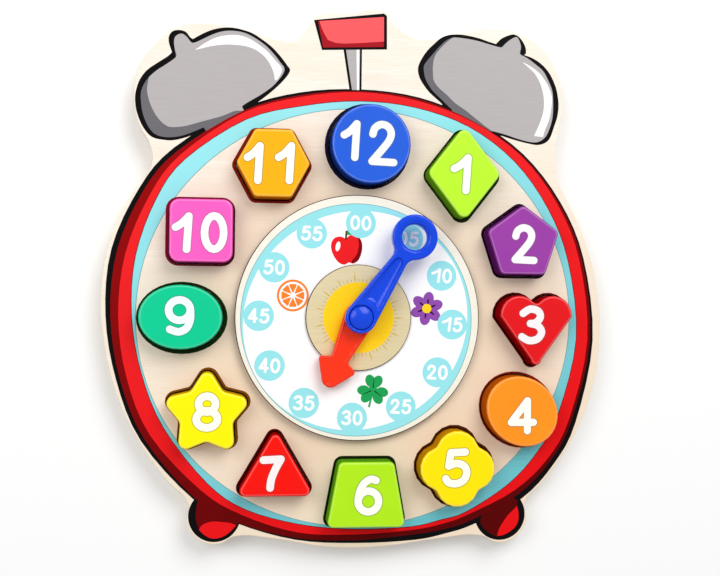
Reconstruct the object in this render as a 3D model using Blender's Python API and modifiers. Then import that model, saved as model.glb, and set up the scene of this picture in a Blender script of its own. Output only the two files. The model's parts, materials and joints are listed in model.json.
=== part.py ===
# Shape sorting clock: a wooden puzzle board in the outline of a twin-bell alarm clock, lying on its back.
# Twelve shaped blocks lift out of their cut-outs, and two clicking hands turn on a post in the middle.
# +Z points out of the dial, +Y to twelve o'clock and +X to three o'clock. Lengths are in metres.

import math

import bmesh
import bpy
from mathutils import Matrix, Vector

# Clearances
FIT_GAP = 0.0003
RUN_GAP = 0.0003
RECESS_CLEARANCE = 0.0007
CUT_OVERRUN = 0.001
WELD_DISTANCE = 0.000002
SCREW_WELD_DISTANCE = 0.00001

# Boards
BASE_THICKNESS = 0.004
FRONT_THICKNESS = 0.009
SIDE_BORDER = 0.0182
END_BORDER = 0.0090
FOOT_RADIUS = 0.0149

# Dial and sun disc
DIAL_RADIUS = 0.065
DIAL_THICKNESS = 0.0045
DIAL_EDGE_ROUND = 0.0008
DIAL_TO_BLOCKS_GAP = 0.0017
SUN_RADIUS = 0.028
SUN_THICKNESS = 0.0015

# Blocks
BLOCK_THICKNESS = 0.021
BLOCK_EDGE_ROUND = 0.0014
CIRCLE_RADIUS = 0.021
RHOMBUS_HALF_WIDTH = 0.020
RHOMBUS_HALF_HEIGHT = 0.0258
RHOMBUS_CORNER = 0.004
PENTAGON_RADIUS = 0.0206
PENTAGON_CORNER = 0.003
HEART_LOBE_RADIUS = 0.0105
HEART_LOBE_OFFSET = 0.0092
HEART_DEPTH = 0.0265
HEART_TIP_RADIUS = 0.003
HEART_NOTCH_RADIUS = 0.002
EGG_HALF_LENGTH = 0.0203
EGG_HALF_WIDTH = 0.0180
QUATREFOIL_LOBE_RADIUS = 0.0115
QUATREFOIL_LOBE_OFFSET = 0.0086
QUATREFOIL_NOTCH_RADIUS = 0.003
TRAPEZOID_TOP_HALF_WIDTH = 0.0145
TRAPEZOID_BOTTOM_HALF_WIDTH = 0.0208
TRAPEZOID_HEIGHT = 0.0342
TRAPEZOID_CORNER = 0.003
TRIANGLE_HALF_WIDTH = 0.0205
TRIANGLE_HEIGHT = 0.0350
TRIANGLE_CORNER = 0.003
STAR_RADIUS = 0.025
STAR_INNER_RADIUS = 0.0142
STAR_CORNER = 0.004
ELLIPSE_HALF_WIDTH = 0.0215
ELLIPSE_HALF_HEIGHT = 0.0167
SQUARE_HALF_WIDTH = 0.0163
SQUARE_CORNER = 0.005
HEXAGON_RADIUS = 0.0205
HEXAGON_CORNER = 0.0025
HEXAGON_WIDTH_SHARE = 0.94

# Pivot post, washers, springs and cap
POST_RADIUS = 0.0025
POST_FLAT = 0.0020
POST_HEAD_RADIUS = 0.006
POST_HEAD_THICKNESS = 0.0020
WASHER_THICKNESS = 0.0006
WASHER_RADIUS = 0.0070
SPRING_THICKNESS = 0.0012
SPRING_RING_WALL = 0.0008
SPRING_ARM_WIDTH = 0.0008
SPRING_NOSE = 0.0005
CAP_RADIUS = 0.0061
CAP_RIM_HEIGHT = 0.0016
CAP_CROWN = 0.0013
CAP_BORE_DEPTH = 0.0012

# Hands
HAND_EDGE_ROUND = 0.0011
HUB_RADIUS = 0.0082
HUB_WALL = 0.0017
NOTCH_DEPTH = 0.0006
NOTCH_COUNT = 12
CAVITY_DEPTH = 0.0026
SCOOP_DEPTH = 0.0012
MINUTE_THICKNESS = 0.0058
MINUTE_RING_DISTANCE = 0.0506
MINUTE_RING_RADIUS = 0.0119
MINUTE_HOLE_RADIUS = 0.0067
MINUTE_NECK_HALF_WIDTH = 0.0040
MINUTE_NECK_FILLET = 0.0060
MINUTE_SCOOP_HALF_WIDTH = 0.0040
MINUTE_SCOOP_HALF_LENGTH = 0.0125
HOUR_THICKNESS = 0.0046
HOUR_TIP_DISTANCE = 0.0436
HOUR_SHOULDER_DISTANCE = 0.0270
HOUR_SHOULDER_HALF_WIDTH = 0.0111
HOUR_NECK_DISTANCE = 0.0242
HOUR_NECK_HALF_WIDTH = 0.0046
HOUR_NECK_FILLET = 0.0015
HOUR_SHOULDER_CORNER = 0.0018
HOUR_TIP_CORNER = 0.0046

# Directions of the hands, clockwise from twelve
MINUTE_HAND_DEGREES = 33.5
HOUR_HAND_DEGREES = 205.0

# The blocks' places: degrees clockwise from twelve, and the share of the ring's radius
PLACE_SHARES = {
    "block_12_circle": (3.3, 1.017),
    "block_01_rhombus": (35.6, 1.05),
    "block_02_pentagon": (65.2, 1.068),
    "block_03_heart": (92.2, 1.052),
    "block_04_oval": (119.3, 1.112),
    "block_05_quatrefoil": (146.4, 1.056),
    "block_06_trapezoid": (177.3, 1.026),
    "block_07_triangle": (208.1, 1.021),
    "block_08_star": (237.5, 1.037),
    "block_09_ellipse": (269.7, 1.029),
    "block_10_square": (298.1, 1.041),
    "block_11_hexagon": (330.1, 1.024),
}
EGG_TILT_DEGREES = -35.0

# The board's body is nearly a superellipse. Its edge bulges a little at some angles, by these shares.
# Its bells and handle stand above it, as shares of its half width and height.
BODY_POWER = 2.15
LEFT_SIDE_SHARES = {150: 1.021, 162: 1.027, 174: 1.023, 186: 1.009, 198: 0.999, 210: 0.996, 221: 1.004}
BOTTOM_SHARES = {249: 0.999, 263: 0.997, 277: 0.998, 291: 1.011}
RIGHT_SIDE_SHARES = {-41: 1.034, -30: 1.026, -18: 1.022, -6: 1.018, 6: 1.010, 18: 1.002, 30: 1.002}
BELLS_AND_HANDLE_SHARES = (
    (0.834, 0.614), (0.820, 0.742), (0.839, 0.855), (0.850, 0.965), (0.833, 1.079), (0.779, 1.186),
    (0.692, 1.259), (0.570, 1.289), (0.418, 1.265), (0.274, 1.226), (0.198, 1.244), (0.137, 1.300),
    (0.110, 1.346), (-0.038, 1.331), (-0.179, 1.312), (-0.207, 1.264), (-0.243, 1.208), (-0.319, 1.201),
    (-0.441, 1.234), (-0.586, 1.260), (-0.722, 1.245), (-0.829, 1.159), (-0.888, 1.047), (-0.902, 0.924),
    (-0.881, 0.818), (-0.833, 0.720), (-0.832, 0.630),
)
LEFT_FOOT_DEGREES, LEFT_FOOT_SHARE = 234.7, 1.0
RIGHT_FOOT_DEGREES, RIGHT_FOOT_SHARE = -53.4, 1.026
FOOT_SWEEP_DEGREES = (-78, -45, -15, 15, 45, 78)

# The click spring's half, in degrees round the post: root, arm's end, and the nose's rise and fall
SPRING_ROOT_DEGREES = 24
SPRING_NOSE_START_DEGREES = 112
SPRING_NOSE_TOP_DEGREES = (118, 124)
SPRING_NOSE_END_DEGREES = 128
SPRING_ARM_END_DEGREES = 134

# Fineness of curves, and the angles that count as edges
ARC_STEP_DEGREES = 10.0
OUTLINE_RESOLUTION = 4
TURNING_STEPS = 32
CROWN_STEPS = 5
EDGE_SEGMENTS = 2
DIAL_EDGE_SEGMENTS = 1
BEVEL_ANGLE_DEGREES = 50
SHARP_ANGLE_DEGREES = 35
FLAT_ANGLE_DEGREES = 0.06
SCOOP_SEGMENTS = 24
SCOOP_RINGS = 12
STEPS_PER_NOTCH = 6

# Colours, roughness and metallic value of each finish
FINISHES = {
    "birch_plywood": ("F6E6D2", 0.45, 0.0),
    "printed_plywood": ("F3DDC6", 0.40, 0.0),
    "white_dial": ("FDFCFB", 0.35, 0.0),
    "sun_wood": ("F8E9CF", 0.45, 0.0),
    "blue_paint": ("2B62D9", 0.35, 0.0),
    "lime_paint": ("BDF531", 0.35, 0.0),
    "purple_paint": ("9B3FA5", 0.35, 0.0),
    "red_paint": ("E5141B", 0.35, 0.0),
    "orange_paint": ("FF9520", 0.35, 0.0),
    "yellow_paint": ("FFE600", 0.35, 0.0),
    "leaf_paint": ("B4EC1D", 0.35, 0.0),
    "scarlet_paint": ("FA1005", 0.35, 0.0),
    "lemon_paint": ("FFF400", 0.35, 0.0),
    "teal_paint": ("06CE95", 0.35, 0.0),
    "pink_paint": ("FF62C4", 0.35, 0.0),
    "amber_paint": ("FFB50F", 0.35, 0.0),
    "blue_plastic": ("1240D6", 0.18, 0.0),
    "red_plastic": ("FF3813", 0.18, 0.0),
    "white_plastic": ("EDEDEA", 0.40, 0.0),
    "steel": ("B8BABD", 0.30, 1.0),
}

# Levels of the stack, from the back face up
FRONT_BOTTOM = BASE_THICKNESS
FRONT_TOP = FRONT_BOTTOM + FRONT_THICKNESS
DIAL_TOP = FRONT_TOP + DIAL_THICKNESS
SUN_TOP = DIAL_TOP + SUN_THICKNESS
HOUR_BOTTOM = SUN_TOP + WASHER_THICKNESS + RUN_GAP
HOUR_TOP = HOUR_BOTTOM + HOUR_THICKNESS
MIDDLE_WASHER_BOTTOM = HOUR_TOP + RUN_GAP
MINUTE_BOTTOM = MIDDLE_WASHER_BOTTOM + WASHER_THICKNESS + RUN_GAP
MINUTE_TOP = MINUTE_BOTTOM + MINUTE_THICKNESS
CAP_SEAT_DEPTH = CAP_RIM_HEIGHT + RUN_GAP
CAP_BOTTOM = MINUTE_TOP - CAP_RIM_HEIGHT
POST_TOP = CAP_BOTTOM + CAP_BORE_DEPTH - FIT_GAP
BORE_RADIUS = POST_RADIUS + RUN_GAP


def clear_scene():
    for item in list(bpy.data.objects):
        bpy.data.objects.remove(item)


def new_collection(name):
    collection = bpy.data.collections.new(name)
    bpy.context.scene.collection.children.link(collection)
    return collection


def linear_colour(text):
    values = []
    for start in (0, 2, 4):
        share = int(text[start:start + 2], 16) / 255
        values.append(share / 12.92 if share <= 0.04045 else ((share + 0.055) / 1.055) ** 2.4)
    return (*values, 1.0)


def finish(name):
    if name in bpy.data.materials:
        return bpy.data.materials[name]
    colour, roughness, metallic = FINISHES[name]
    material = bpy.data.materials.new(name)
    material.use_nodes = True
    shader = material.node_tree.nodes["Principled BSDF"]
    shader.inputs["Base Color"].default_value = linear_colour(colour)
    shader.inputs["Roughness"].default_value = roughness
    shader.inputs["Metallic"].default_value = metallic
    material.diffuse_color = linear_colour(colour)
    return material


# Outlines are lists of 2D vectors that run anticlockwise


def arc(centre, radius, start, end):
    """Points from angle start to angle end, in radians."""
    steps = max(2, math.ceil(abs(end - start) / math.radians(ARC_STEP_DEGREES) / 2))
    angles = [start + (end - start) * step / steps for step in range(steps + 1)]
    return [centre + radius * Vector((math.cos(angle), math.sin(angle))) for angle in angles]


def ellipse(half_width, half_height, tilt=0.0):
    count = round(360 / ARC_STEP_DEGREES)
    turn = Matrix.Rotation(tilt, 2)
    angles = [2 * math.pi * step / count for step in range(count)]
    return [turn @ Vector((half_width * math.cos(angle), half_height * math.sin(angle))) for angle in angles]


def circle(radius):
    return ellipse(radius, radius)


def rounded(corners):
    """Outline through (x, y, radius) corners, each rounded by an arc, inward or outward."""
    points = []
    for index, (x, y, radius) in enumerate(corners):
        corner = Vector((x, y))
        before = (Vector(corners[index - 1][:2]) - corner).normalized()
        after = (Vector(corners[(index + 1) % len(corners)][:2]) - corner).normalized()
        half_angle = before.angle(after) / 2
        centre = corner + (before + after).normalized() * radius / math.sin(half_angle)
        start = corner + before * radius / math.tan(half_angle) - centre
        end = corner + after * radius / math.tan(half_angle) - centre
        sweep = math.remainder(math.atan2(end.y, end.x) - math.atan2(start.y, start.x), 2 * math.pi)
        start_angle = math.atan2(start.y, start.x)
        points += arc(centre, radius, start_angle, start_angle + sweep)
    return points


def regular_polygon(count, radius, corner_radius, first_degrees):
    corners = []
    for step in range(count):
        angle = math.radians(first_degrees + 360 * step / count)
        corners.append((radius * math.cos(angle), radius * math.sin(angle), corner_radius))
    return rounded(corners)


def hexagon():
    """A hexagon with a corner to each side, a little narrower than a regular one."""
    outline = regular_polygon(6, HEXAGON_RADIUS, HEXAGON_CORNER, 0)
    return [Vector((point.x * HEXAGON_WIDTH_SHARE, point.y)) for point in outline]


def star():
    corners = []
    for step in range(5):
        tip = math.radians(90 + 72 * step)
        notch = math.radians(126 + 72 * step)
        for radius, angle in ((STAR_RADIUS, tip), (STAR_INNER_RADIUS, notch)):
            corners.append((radius * math.cos(angle), radius * math.sin(angle), STAR_CORNER))
    return rounded(corners)


def quatrefoil():
    """Four round lobes with a small hollow arc between neighbours."""
    reach = QUATREFOIL_LOBE_RADIUS + QUATREFOIL_NOTCH_RADIUS
    offset = QUATREFOIL_LOBE_OFFSET
    side = (offset + math.sqrt(2 * reach ** 2 - offset ** 2)) / 2
    contact = math.atan2(side, side - offset)
    quarter = arc(Vector((offset, 0)), QUATREFOIL_LOBE_RADIUS, -contact, contact)
    notch_start = math.pi + contact
    notch_end = 1.5 * math.pi - contact
    quarter += arc(Vector((side, side)), QUATREFOIL_NOTCH_RADIUS, notch_start, notch_end)[1:-1]
    return [Matrix.Rotation(math.pi / 2 * step, 2) @ point for step in range(4) for point in quarter]


def heart():
    """Two lobes, a rounded notch between them and straight sides to a rounded tip."""
    height = (HEART_DEPTH - 2 * HEART_LOBE_RADIUS) / 2 + HEART_TIP_RADIUS
    lobe = Vector((HEART_LOBE_OFFSET, height))
    tip = Vector((0, height - HEART_DEPTH + HEART_TIP_RADIUS))
    reach = HEART_LOBE_RADIUS + HEART_NOTCH_RADIUS
    notch = Vector((0, lobe.y + math.sqrt(reach ** 2 - lobe.x ** 2)))
    down = lobe - tip
    side_angle = math.atan2(down.y, down.x) - math.acos((HEART_LOBE_RADIUS - HEART_TIP_RADIUS) / down.length)
    notch_angle = math.atan2(notch.y - lobe.y, notch.x - lobe.x)
    right = arc(tip, HEART_TIP_RADIUS, -math.pi / 2, side_angle)
    right += arc(lobe, HEART_LOBE_RADIUS, side_angle, notch_angle)
    right += arc(notch, HEART_NOTCH_RADIUS, notch_angle - math.pi, -math.pi / 2)[1:]
    left = [Vector((-point.x, point.y)) for point in reversed(right[1:-1])]
    return right + left


def trapezoid():
    half_height = TRAPEZOID_HEIGHT / 2
    return rounded((
        (-TRAPEZOID_BOTTOM_HALF_WIDTH, -half_height, TRAPEZOID_CORNER),
        (TRAPEZOID_BOTTOM_HALF_WIDTH, -half_height, TRAPEZOID_CORNER),
        (TRAPEZOID_TOP_HALF_WIDTH, half_height, TRAPEZOID_CORNER),
        (-TRAPEZOID_TOP_HALF_WIDTH, half_height, TRAPEZOID_CORNER),
    ))


def triangle():
    """A triangle about its centre of gravity, a third of its height above the base."""
    return rounded((
        (-TRIANGLE_HALF_WIDTH, -TRIANGLE_HEIGHT / 3, TRIANGLE_CORNER),
        (TRIANGLE_HALF_WIDTH, -TRIANGLE_HEIGHT / 3, TRIANGLE_CORNER),
        (0, 2 * TRIANGLE_HEIGHT / 3, TRIANGLE_CORNER),
    ))


def rhombus():
    return rounded((
        (0, -RHOMBUS_HALF_HEIGHT, RHOMBUS_CORNER),
        (RHOMBUS_HALF_WIDTH, 0, RHOMBUS_CORNER),
        (0, RHOMBUS_HALF_HEIGHT, RHOMBUS_CORNER),
        (-RHOMBUS_HALF_WIDTH, 0, RHOMBUS_CORNER),
    ))


def square():
    half = SQUARE_HALF_WIDTH
    return rounded([(x * half, y * half, SQUARE_CORNER) for x, y in ((-1, -1), (1, -1), (1, 1), (-1, 1))])


def grown(outline, distance):
    """The outline moved outward by a distance."""
    moved = []
    for index, point in enumerate(outline):
        before = (point - outline[index - 1]).normalized()
        after = (outline[(index + 1) % len(outline)] - point).normalized()
        normal_before = Vector((before.y, -before.x))
        normal_after = Vector((after.y, -after.x))
        normal = (normal_before + normal_after).normalized()
        moved.append(point + normal * distance / normal.dot(normal_after))
    return moved


BLOCK_OUTLINES = {
    "block_12_circle": circle(CIRCLE_RADIUS),
    "block_01_rhombus": rhombus(),
    "block_02_pentagon": regular_polygon(5, PENTAGON_RADIUS, PENTAGON_CORNER, 90),
    "block_03_heart": heart(),
    "block_04_oval": ellipse(EGG_HALF_LENGTH, EGG_HALF_WIDTH, math.radians(EGG_TILT_DEGREES)),
    "block_05_quatrefoil": quatrefoil(),
    "block_06_trapezoid": trapezoid(),
    "block_07_triangle": triangle(),
    "block_08_star": star(),
    "block_09_ellipse": ellipse(ELLIPSE_HALF_WIDTH, ELLIPSE_HALF_HEIGHT),
    "block_10_square": square(),
    "block_11_hexagon": hexagon(),
}
BLOCK_FINISHES = {
    "block_12_circle": "blue_paint",
    "block_01_rhombus": "lime_paint",
    "block_02_pentagon": "purple_paint",
    "block_03_heart": "red_paint",
    "block_04_oval": "orange_paint",
    "block_05_quatrefoil": "yellow_paint",
    "block_06_trapezoid": "leaf_paint",
    "block_07_triangle": "scarlet_paint",
    "block_08_star": "lemon_paint",
    "block_09_ellipse": "teal_paint",
    "block_10_square": "pink_paint",
    "block_11_hexagon": "amber_paint",
}

# The blocks' ring clears the dial by the widest block, and the board clears the ring
BLOCK_REACH = max(max(abs(point.x), abs(point.y)) for outline in BLOCK_OUTLINES.values() for point in outline)
BLOCK_RING_RADIUS = DIAL_RADIUS + DIAL_TO_BLOCKS_GAP + BLOCK_REACH
BODY_HALF_WIDTH = BLOCK_RING_RADIUS + BLOCK_REACH + SIDE_BORDER
BODY_HALF_HEIGHT = BLOCK_RING_RADIUS + BLOCK_REACH + END_BORDER


def block_place(name):
    degrees, radius_share = PLACE_SHARES[name]
    angle = math.radians(degrees)
    return BLOCK_RING_RADIUS * radius_share * Vector((math.sin(angle), math.cos(angle)))


def body_point(degrees, share=1.0):
    """The point at a share of the superellipse's radius, in degrees anticlockwise from three o'clock."""
    angle = math.radians(degrees)
    across = abs(math.cos(angle) / BODY_HALF_WIDTH) ** BODY_POWER
    along = abs(math.sin(angle) / BODY_HALF_HEIGHT) ** BODY_POWER
    radius = share * (across + along) ** (-1 / BODY_POWER)
    return radius * Vector((math.cos(angle), math.sin(angle)))


def foot_arc(degrees, share):
    """The round foot whose centre lies near the body's edge, from its left side to its right side."""
    centre = body_point(degrees, share)
    angles = [math.radians(degrees + turn) for turn in FOOT_SWEEP_DEGREES]
    return [centre + FOOT_RADIUS * Vector((math.cos(angle), math.sin(angle))) for angle in angles]


def board_outline():
    """The alarm clock's outline: bells and handle, left side, two feet and right side."""
    points = [Vector((x * BODY_HALF_WIDTH, y * BODY_HALF_HEIGHT)) for x, y in BELLS_AND_HANDLE_SHARES]
    points += [body_point(degrees, share) for degrees, share in LEFT_SIDE_SHARES.items()]
    points += foot_arc(LEFT_FOOT_DEGREES, LEFT_FOOT_SHARE)
    points += [body_point(degrees, share) for degrees, share in BOTTOM_SHARES.items()]
    points += foot_arc(RIGHT_FOOT_DEGREES, RIGHT_FOOT_SHARE)
    points += [body_point(degrees, share) for degrees, share in RIGHT_SIDE_SHARES.items()]
    return points


# Solids


def add_curve(name, loops, smooth_first, thickness):
    """A flat curve that fills the first loop and leaves the others open."""
    curve = bpy.data.curves.new(name, "CURVE")
    curve.dimensions = "2D"
    curve.fill_mode = "BOTH"
    curve.extrude = thickness / 2
    curve.resolution_u = OUTLINE_RESOLUTION
    for index, loop in enumerate(loops):
        smooth = smooth_first and index == 0
        spline = curve.splines.new("BEZIER" if smooth else "POLY")
        points = spline.bezier_points if smooth else spline.points
        points.add(len(loop) - 1)
        for point, place in zip(points, loop):
            if smooth:
                point.co = (place.x, place.y, 0)
                point.handle_left_type = "AUTO"
                point.handle_right_type = "AUTO"
            else:
                point.co = (place.x, place.y, 0, 1)
        spline.use_cyclic_u = True
    return curve


def extruded(name, loops, bottom, top, smooth_first=False):
    """A solid plate between two levels, made from outlines and holes."""
    guide = bpy.data.objects.new(name + "_outline", add_curve(name, loops, smooth_first, top - bottom))
    cutters.objects.link(guide)
    guide.location.z = (bottom + top) / 2
    depsgraph = bpy.context.evaluated_depsgraph_get()
    mesh = bpy.data.meshes.new_from_object(guide.evaluated_get(depsgraph))
    mesh.name = name
    plate = bpy.data.objects.new(name, mesh)
    plate.matrix_world = guide.matrix_world
    plate.location.z = (bottom + top) / 2
    bpy.data.objects.remove(guide)
    cage = bmesh.new()
    cage.from_mesh(mesh)
    bmesh.ops.remove_doubles(cage, verts=cage.verts, dist=WELD_DISTANCE)
    if len(loops) == 1:
        limit = math.radians(FLAT_ANGLE_DEGREES)
        flat = [edge for edge in cage.edges if edge.is_manifold and edge.calc_face_angle() < limit]
        bmesh.ops.dissolve_edges(cage, edges=flat, use_verts=False)
    bmesh.ops.recalc_face_normals(cage, faces=cage.faces)
    cage.to_mesh(mesh)
    cage.free()
    return plate


def turned(name, profile):
    """A solid of revolution about Z from a profile of (radius, height) points, outer side down."""
    mesh = bpy.data.meshes.new(name)
    edges = [(index, index + 1) for index in range(len(profile) - 1)]
    mesh.from_pydata([(radius, 0, height) for radius, height in profile], edges, [])
    shape = bpy.data.objects.new(name, mesh)
    screw = shape.modifiers.new("turn", "SCREW")
    screw.steps = TURNING_STEPS
    screw.render_steps = TURNING_STEPS
    screw.use_merge_vertices = True
    screw.merge_threshold = SCREW_WELD_DISTANCE
    return shape


def as_part(shape, material):
    parts.objects.link(shape)
    shape.data.materials.clear()
    shape.data.materials.append(finish(material))
    return shape


def as_cutter(shape):
    cutters.objects.link(shape)
    shape.hide_render = True
    shape.display_type = "WIRE"
    return shape


def round_edges(shape, width, segments=EDGE_SEGMENTS):
    bevel = shape.modifiers.new("rounded_edges", "BEVEL")
    bevel.width = width
    bevel.segments = segments
    bevel.limit_method = "ANGLE"
    bevel.angle_limit = math.radians(BEVEL_ANGLE_DEGREES)


def cut(shape, cutter):
    boolean = shape.modifiers.new("cut", "BOOLEAN")
    boolean.operation = "DIFFERENCE"
    boolean.object = cutter


def smooth(shape):
    shape.data.shade_smooth()
    shape.data.set_sharp_from_angle(angle=math.radians(SHARP_ANGLE_DEGREES))


def make_boards():
    outline = board_outline()
    base = extruded("base_board", [outline], 0, BASE_THICKNESS, smooth_first=True)
    as_part(base, "birch_plywood")
    recesses = []
    for name, shape in BLOCK_OUTLINES.items():
        place = block_place(name)
        recesses.append([place + point for point in grown(shape, RECESS_CLEARANCE)])
    loops = [outline] + recesses + [circle(POST_RADIUS + FIT_GAP)]
    front = extruded("front_board", loops, FRONT_BOTTOM, FRONT_TOP, smooth_first=True)
    head_top = FRONT_BOTTOM + POST_HEAD_THICKNESS + FIT_GAP
    head_pocket = extruded(
        "head_pocket", [circle(POST_HEAD_RADIUS + FIT_GAP)], FRONT_BOTTOM - CUT_OVERRUN, head_top)
    cut(as_part(front, "printed_plywood"), as_cutter(head_pocket))
    smooth(base)
    smooth(front)


def make_disc(name, radius, bottom, top, material, edge_round=0.0):
    disc = extruded(name, [circle(radius), circle(POST_RADIUS + FIT_GAP)], bottom, top)
    as_part(disc, material)
    if edge_round:
        round_edges(disc, edge_round, DIAL_EDGE_SEGMENTS)
    smooth(disc)


def make_block(name):
    block = extruded(name, [BLOCK_OUTLINES[name]], BASE_THICKNESS, BASE_THICKNESS + BLOCK_THICKNESS)
    place = block_place(name)
    block.location.x = place.x
    block.location.y = place.y
    as_part(block, BLOCK_FINISHES[name])
    round_edges(block, BLOCK_EDGE_ROUND)
    smooth(block)


def flat_bore(radius, flat):
    """A bore with a flat on one side, for the post's flat."""
    half_angle = math.acos(flat / radius)
    return arc(Vector((0, 0)), radius, half_angle, 2 * math.pi - half_angle)


def make_post():
    """The post with its head under the front board and a flat that keeps springs and washers from turning."""
    head_bottom = FRONT_BOTTOM + FIT_GAP
    head_top = FRONT_BOTTOM + POST_HEAD_THICKNESS
    profile = (
        (0, POST_TOP),
        (POST_RADIUS, POST_TOP),
        (POST_RADIUS, head_top),
        (POST_HEAD_RADIUS, head_top),
        (POST_HEAD_RADIUS, head_bottom),
        (0, head_bottom),
    )
    post = as_part(turned("pivot_post", profile), "steel")
    side = 2 * POST_RADIUS
    mesh = bpy.data.meshes.new("post_flat")
    cage = bmesh.new()
    bmesh.ops.create_cube(cage, size=1)
    height = POST_TOP - SUN_TOP + CUT_OVERRUN
    bmesh.ops.scale(cage, vec=(side, side, height), verts=cage.verts)
    centre = Vector((POST_FLAT + side / 2, 0, SUN_TOP + height / 2))
    bmesh.ops.translate(cage, vec=centre, verts=cage.verts)
    cage.to_mesh(mesh)
    cage.free()
    cut(post, as_cutter(bpy.data.objects.new("post_flat", mesh)))
    smooth(post)


def make_washer(name, bottom):
    bore = flat_bore(POST_RADIUS + FIT_GAP, POST_FLAT + FIT_GAP)
    washer = extruded(name, [circle(WASHER_RADIUS), bore], bottom, bottom + WASHER_THICKNESS)
    smooth(as_part(washer, "white_plastic"))


def make_click_spring(name, hand_bottom):
    """A flat spring: a ring on the post and two arms that bend round it, each with a nose."""
    ring = POST_RADIUS + FIT_GAP + SPRING_RING_WALL
    tip = HUB_RADIUS - HUB_WALL - NOTCH_DEPTH - RUN_GAP
    outer = tip - SPRING_NOSE
    inner = outer - SPRING_ARM_WIDTH
    centre = Vector((0, 0))
    root = math.radians(SPRING_ROOT_DEGREES)
    arm_end = math.radians(SPRING_ARM_END_DEGREES)
    nose_top = [math.radians(degrees) for degrees in SPRING_NOSE_TOP_DEGREES]
    half = arc(centre, outer, 0, math.radians(SPRING_NOSE_START_DEGREES))
    half += arc(centre, tip, *nose_top)
    half += arc(centre, outer, math.radians(SPRING_NOSE_END_DEGREES), arm_end)
    half += arc(centre, inner, arm_end, root)
    half += arc(centre, ring, root, math.pi)
    outline = half + [-point for point in half]
    bottom = hand_bottom + RUN_GAP
    bore = flat_bore(POST_RADIUS + FIT_GAP, POST_FLAT + FIT_GAP)
    spring = extruded(name, [outline, bore], bottom, bottom + SPRING_THICKNESS)
    as_part(spring, "steel")


def make_cap():
    """The domed button that closes the hub, with a bore for the post's end."""
    crown = []
    sphere_radius = (CAP_RADIUS ** 2 + CAP_CROWN ** 2) / (2 * CAP_CROWN)
    for step in range(CROWN_STEPS):
        radius = CAP_RADIUS * step / CROWN_STEPS
        height = math.sqrt(sphere_radius ** 2 - radius ** 2) - (sphere_radius - CAP_CROWN)
        crown.append((radius, MINUTE_TOP + height))
    bore_radius = POST_RADIUS + FIT_GAP
    bore_top = CAP_BOTTOM + CAP_BORE_DEPTH
    profile = crown + [
        (CAP_RADIUS, MINUTE_TOP),
        (CAP_RADIUS, CAP_BOTTOM),
        (bore_radius, CAP_BOTTOM),
        (bore_radius, bore_top),
        (0, bore_top),
    ]
    smooth(as_part(turned("hub_cap", profile), "blue_plastic"))


def taper_angle(neck_half_width, neck_distance):
    """Angle between a hand's side and its centre line, from the hub's circle to the neck."""
    reach = math.hypot(neck_distance, neck_half_width)
    return math.asin(HUB_RADIUS / reach) - math.atan2(neck_half_width, neck_distance)


def minute_outline():
    """Round hub, tapered arm, hollow fillets at the neck and the finger ring."""
    neck_distance = MINUTE_RING_DISTANCE - MINUTE_RING_RADIUS
    taper = taper_angle(MINUTE_NECK_HALF_WIDTH, neck_distance)
    normal = Vector((math.cos(taper), math.sin(taper)))
    along = Vector((-math.sin(taper), math.cos(taper)))
    ring = Vector((0, MINUTE_RING_DISTANCE))
    offset = normal * (HUB_RADIUS + MINUTE_NECK_FILLET) - ring
    reach = MINUTE_RING_RADIUS + MINUTE_NECK_FILLET
    travel = -offset.dot(along) - math.sqrt(offset.dot(along) ** 2 - offset.length_squared + reach ** 2)
    fillet = ring + offset + along * travel
    to_ring = ring - fillet
    contact = math.atan2(to_ring.y, to_ring.x)
    right = arc(Vector((0, 0)), HUB_RADIUS, -math.pi / 2, taper)
    right += arc(fillet, MINUTE_NECK_FILLET, math.pi + taper, contact)
    right += arc(ring, MINUTE_RING_RADIUS, contact - math.pi, math.pi / 2)[1:]
    left = [Vector((-point.x, point.y)) for point in reversed(right[1:-1])]
    return right + left


def hour_outline():
    """Round hub, tapered arm and a blunt arrow head with rounded shoulders."""
    taper = taper_angle(HOUR_NECK_HALF_WIDTH, HOUR_NECK_DISTANCE)
    hub_corner = HUB_RADIUS * (1 + math.sin(taper)) / math.cos(taper)
    return rounded((
        (-hub_corner, -HUB_RADIUS, HUB_RADIUS),
        (hub_corner, -HUB_RADIUS, HUB_RADIUS),
        (HOUR_NECK_HALF_WIDTH, HOUR_NECK_DISTANCE, HOUR_NECK_FILLET),
        (HOUR_SHOULDER_HALF_WIDTH, HOUR_SHOULDER_DISTANCE, HOUR_SHOULDER_CORNER),
        (0, HOUR_TIP_DISTANCE, HOUR_TIP_CORNER),
        (-HOUR_SHOULDER_HALF_WIDTH, HOUR_SHOULDER_DISTANCE, HOUR_SHOULDER_CORNER),
        (-HOUR_NECK_HALF_WIDTH, HOUR_NECK_DISTANCE, HOUR_NECK_FILLET),
    ))


def notched_circle():
    """The hub's inner wall: a ring of shallow notches for the spring's noses."""
    middle = HUB_RADIUS - HUB_WALL - NOTCH_DEPTH / 2
    count = STEPS_PER_NOTCH * NOTCH_COUNT
    points = []
    for step in range(count):
        angle = 2 * math.pi * step / count
        radius = middle + NOTCH_DEPTH / 2 * math.cos(NOTCH_COUNT * angle)
        points.append(radius * Vector((math.cos(angle), math.sin(angle))))
    return points


def scoop_cutter(name, half_width, half_length, middle, top):
    """A long shallow bowl for the hollow along a hand's arm."""
    mesh = bpy.data.meshes.new(name)
    cage = bmesh.new()
    bmesh.ops.create_uvsphere(cage, u_segments=SCOOP_SEGMENTS, v_segments=SCOOP_RINGS, radius=1)
    bmesh.ops.scale(cage, vec=(half_width, half_length, SCOOP_DEPTH), verts=cage.verts)
    bmesh.ops.translate(cage, vec=(0, middle, top), verts=cage.verts)
    cage.to_mesh(mesh)
    cage.free()
    return as_cutter(bpy.data.objects.new(name, mesh))


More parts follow.
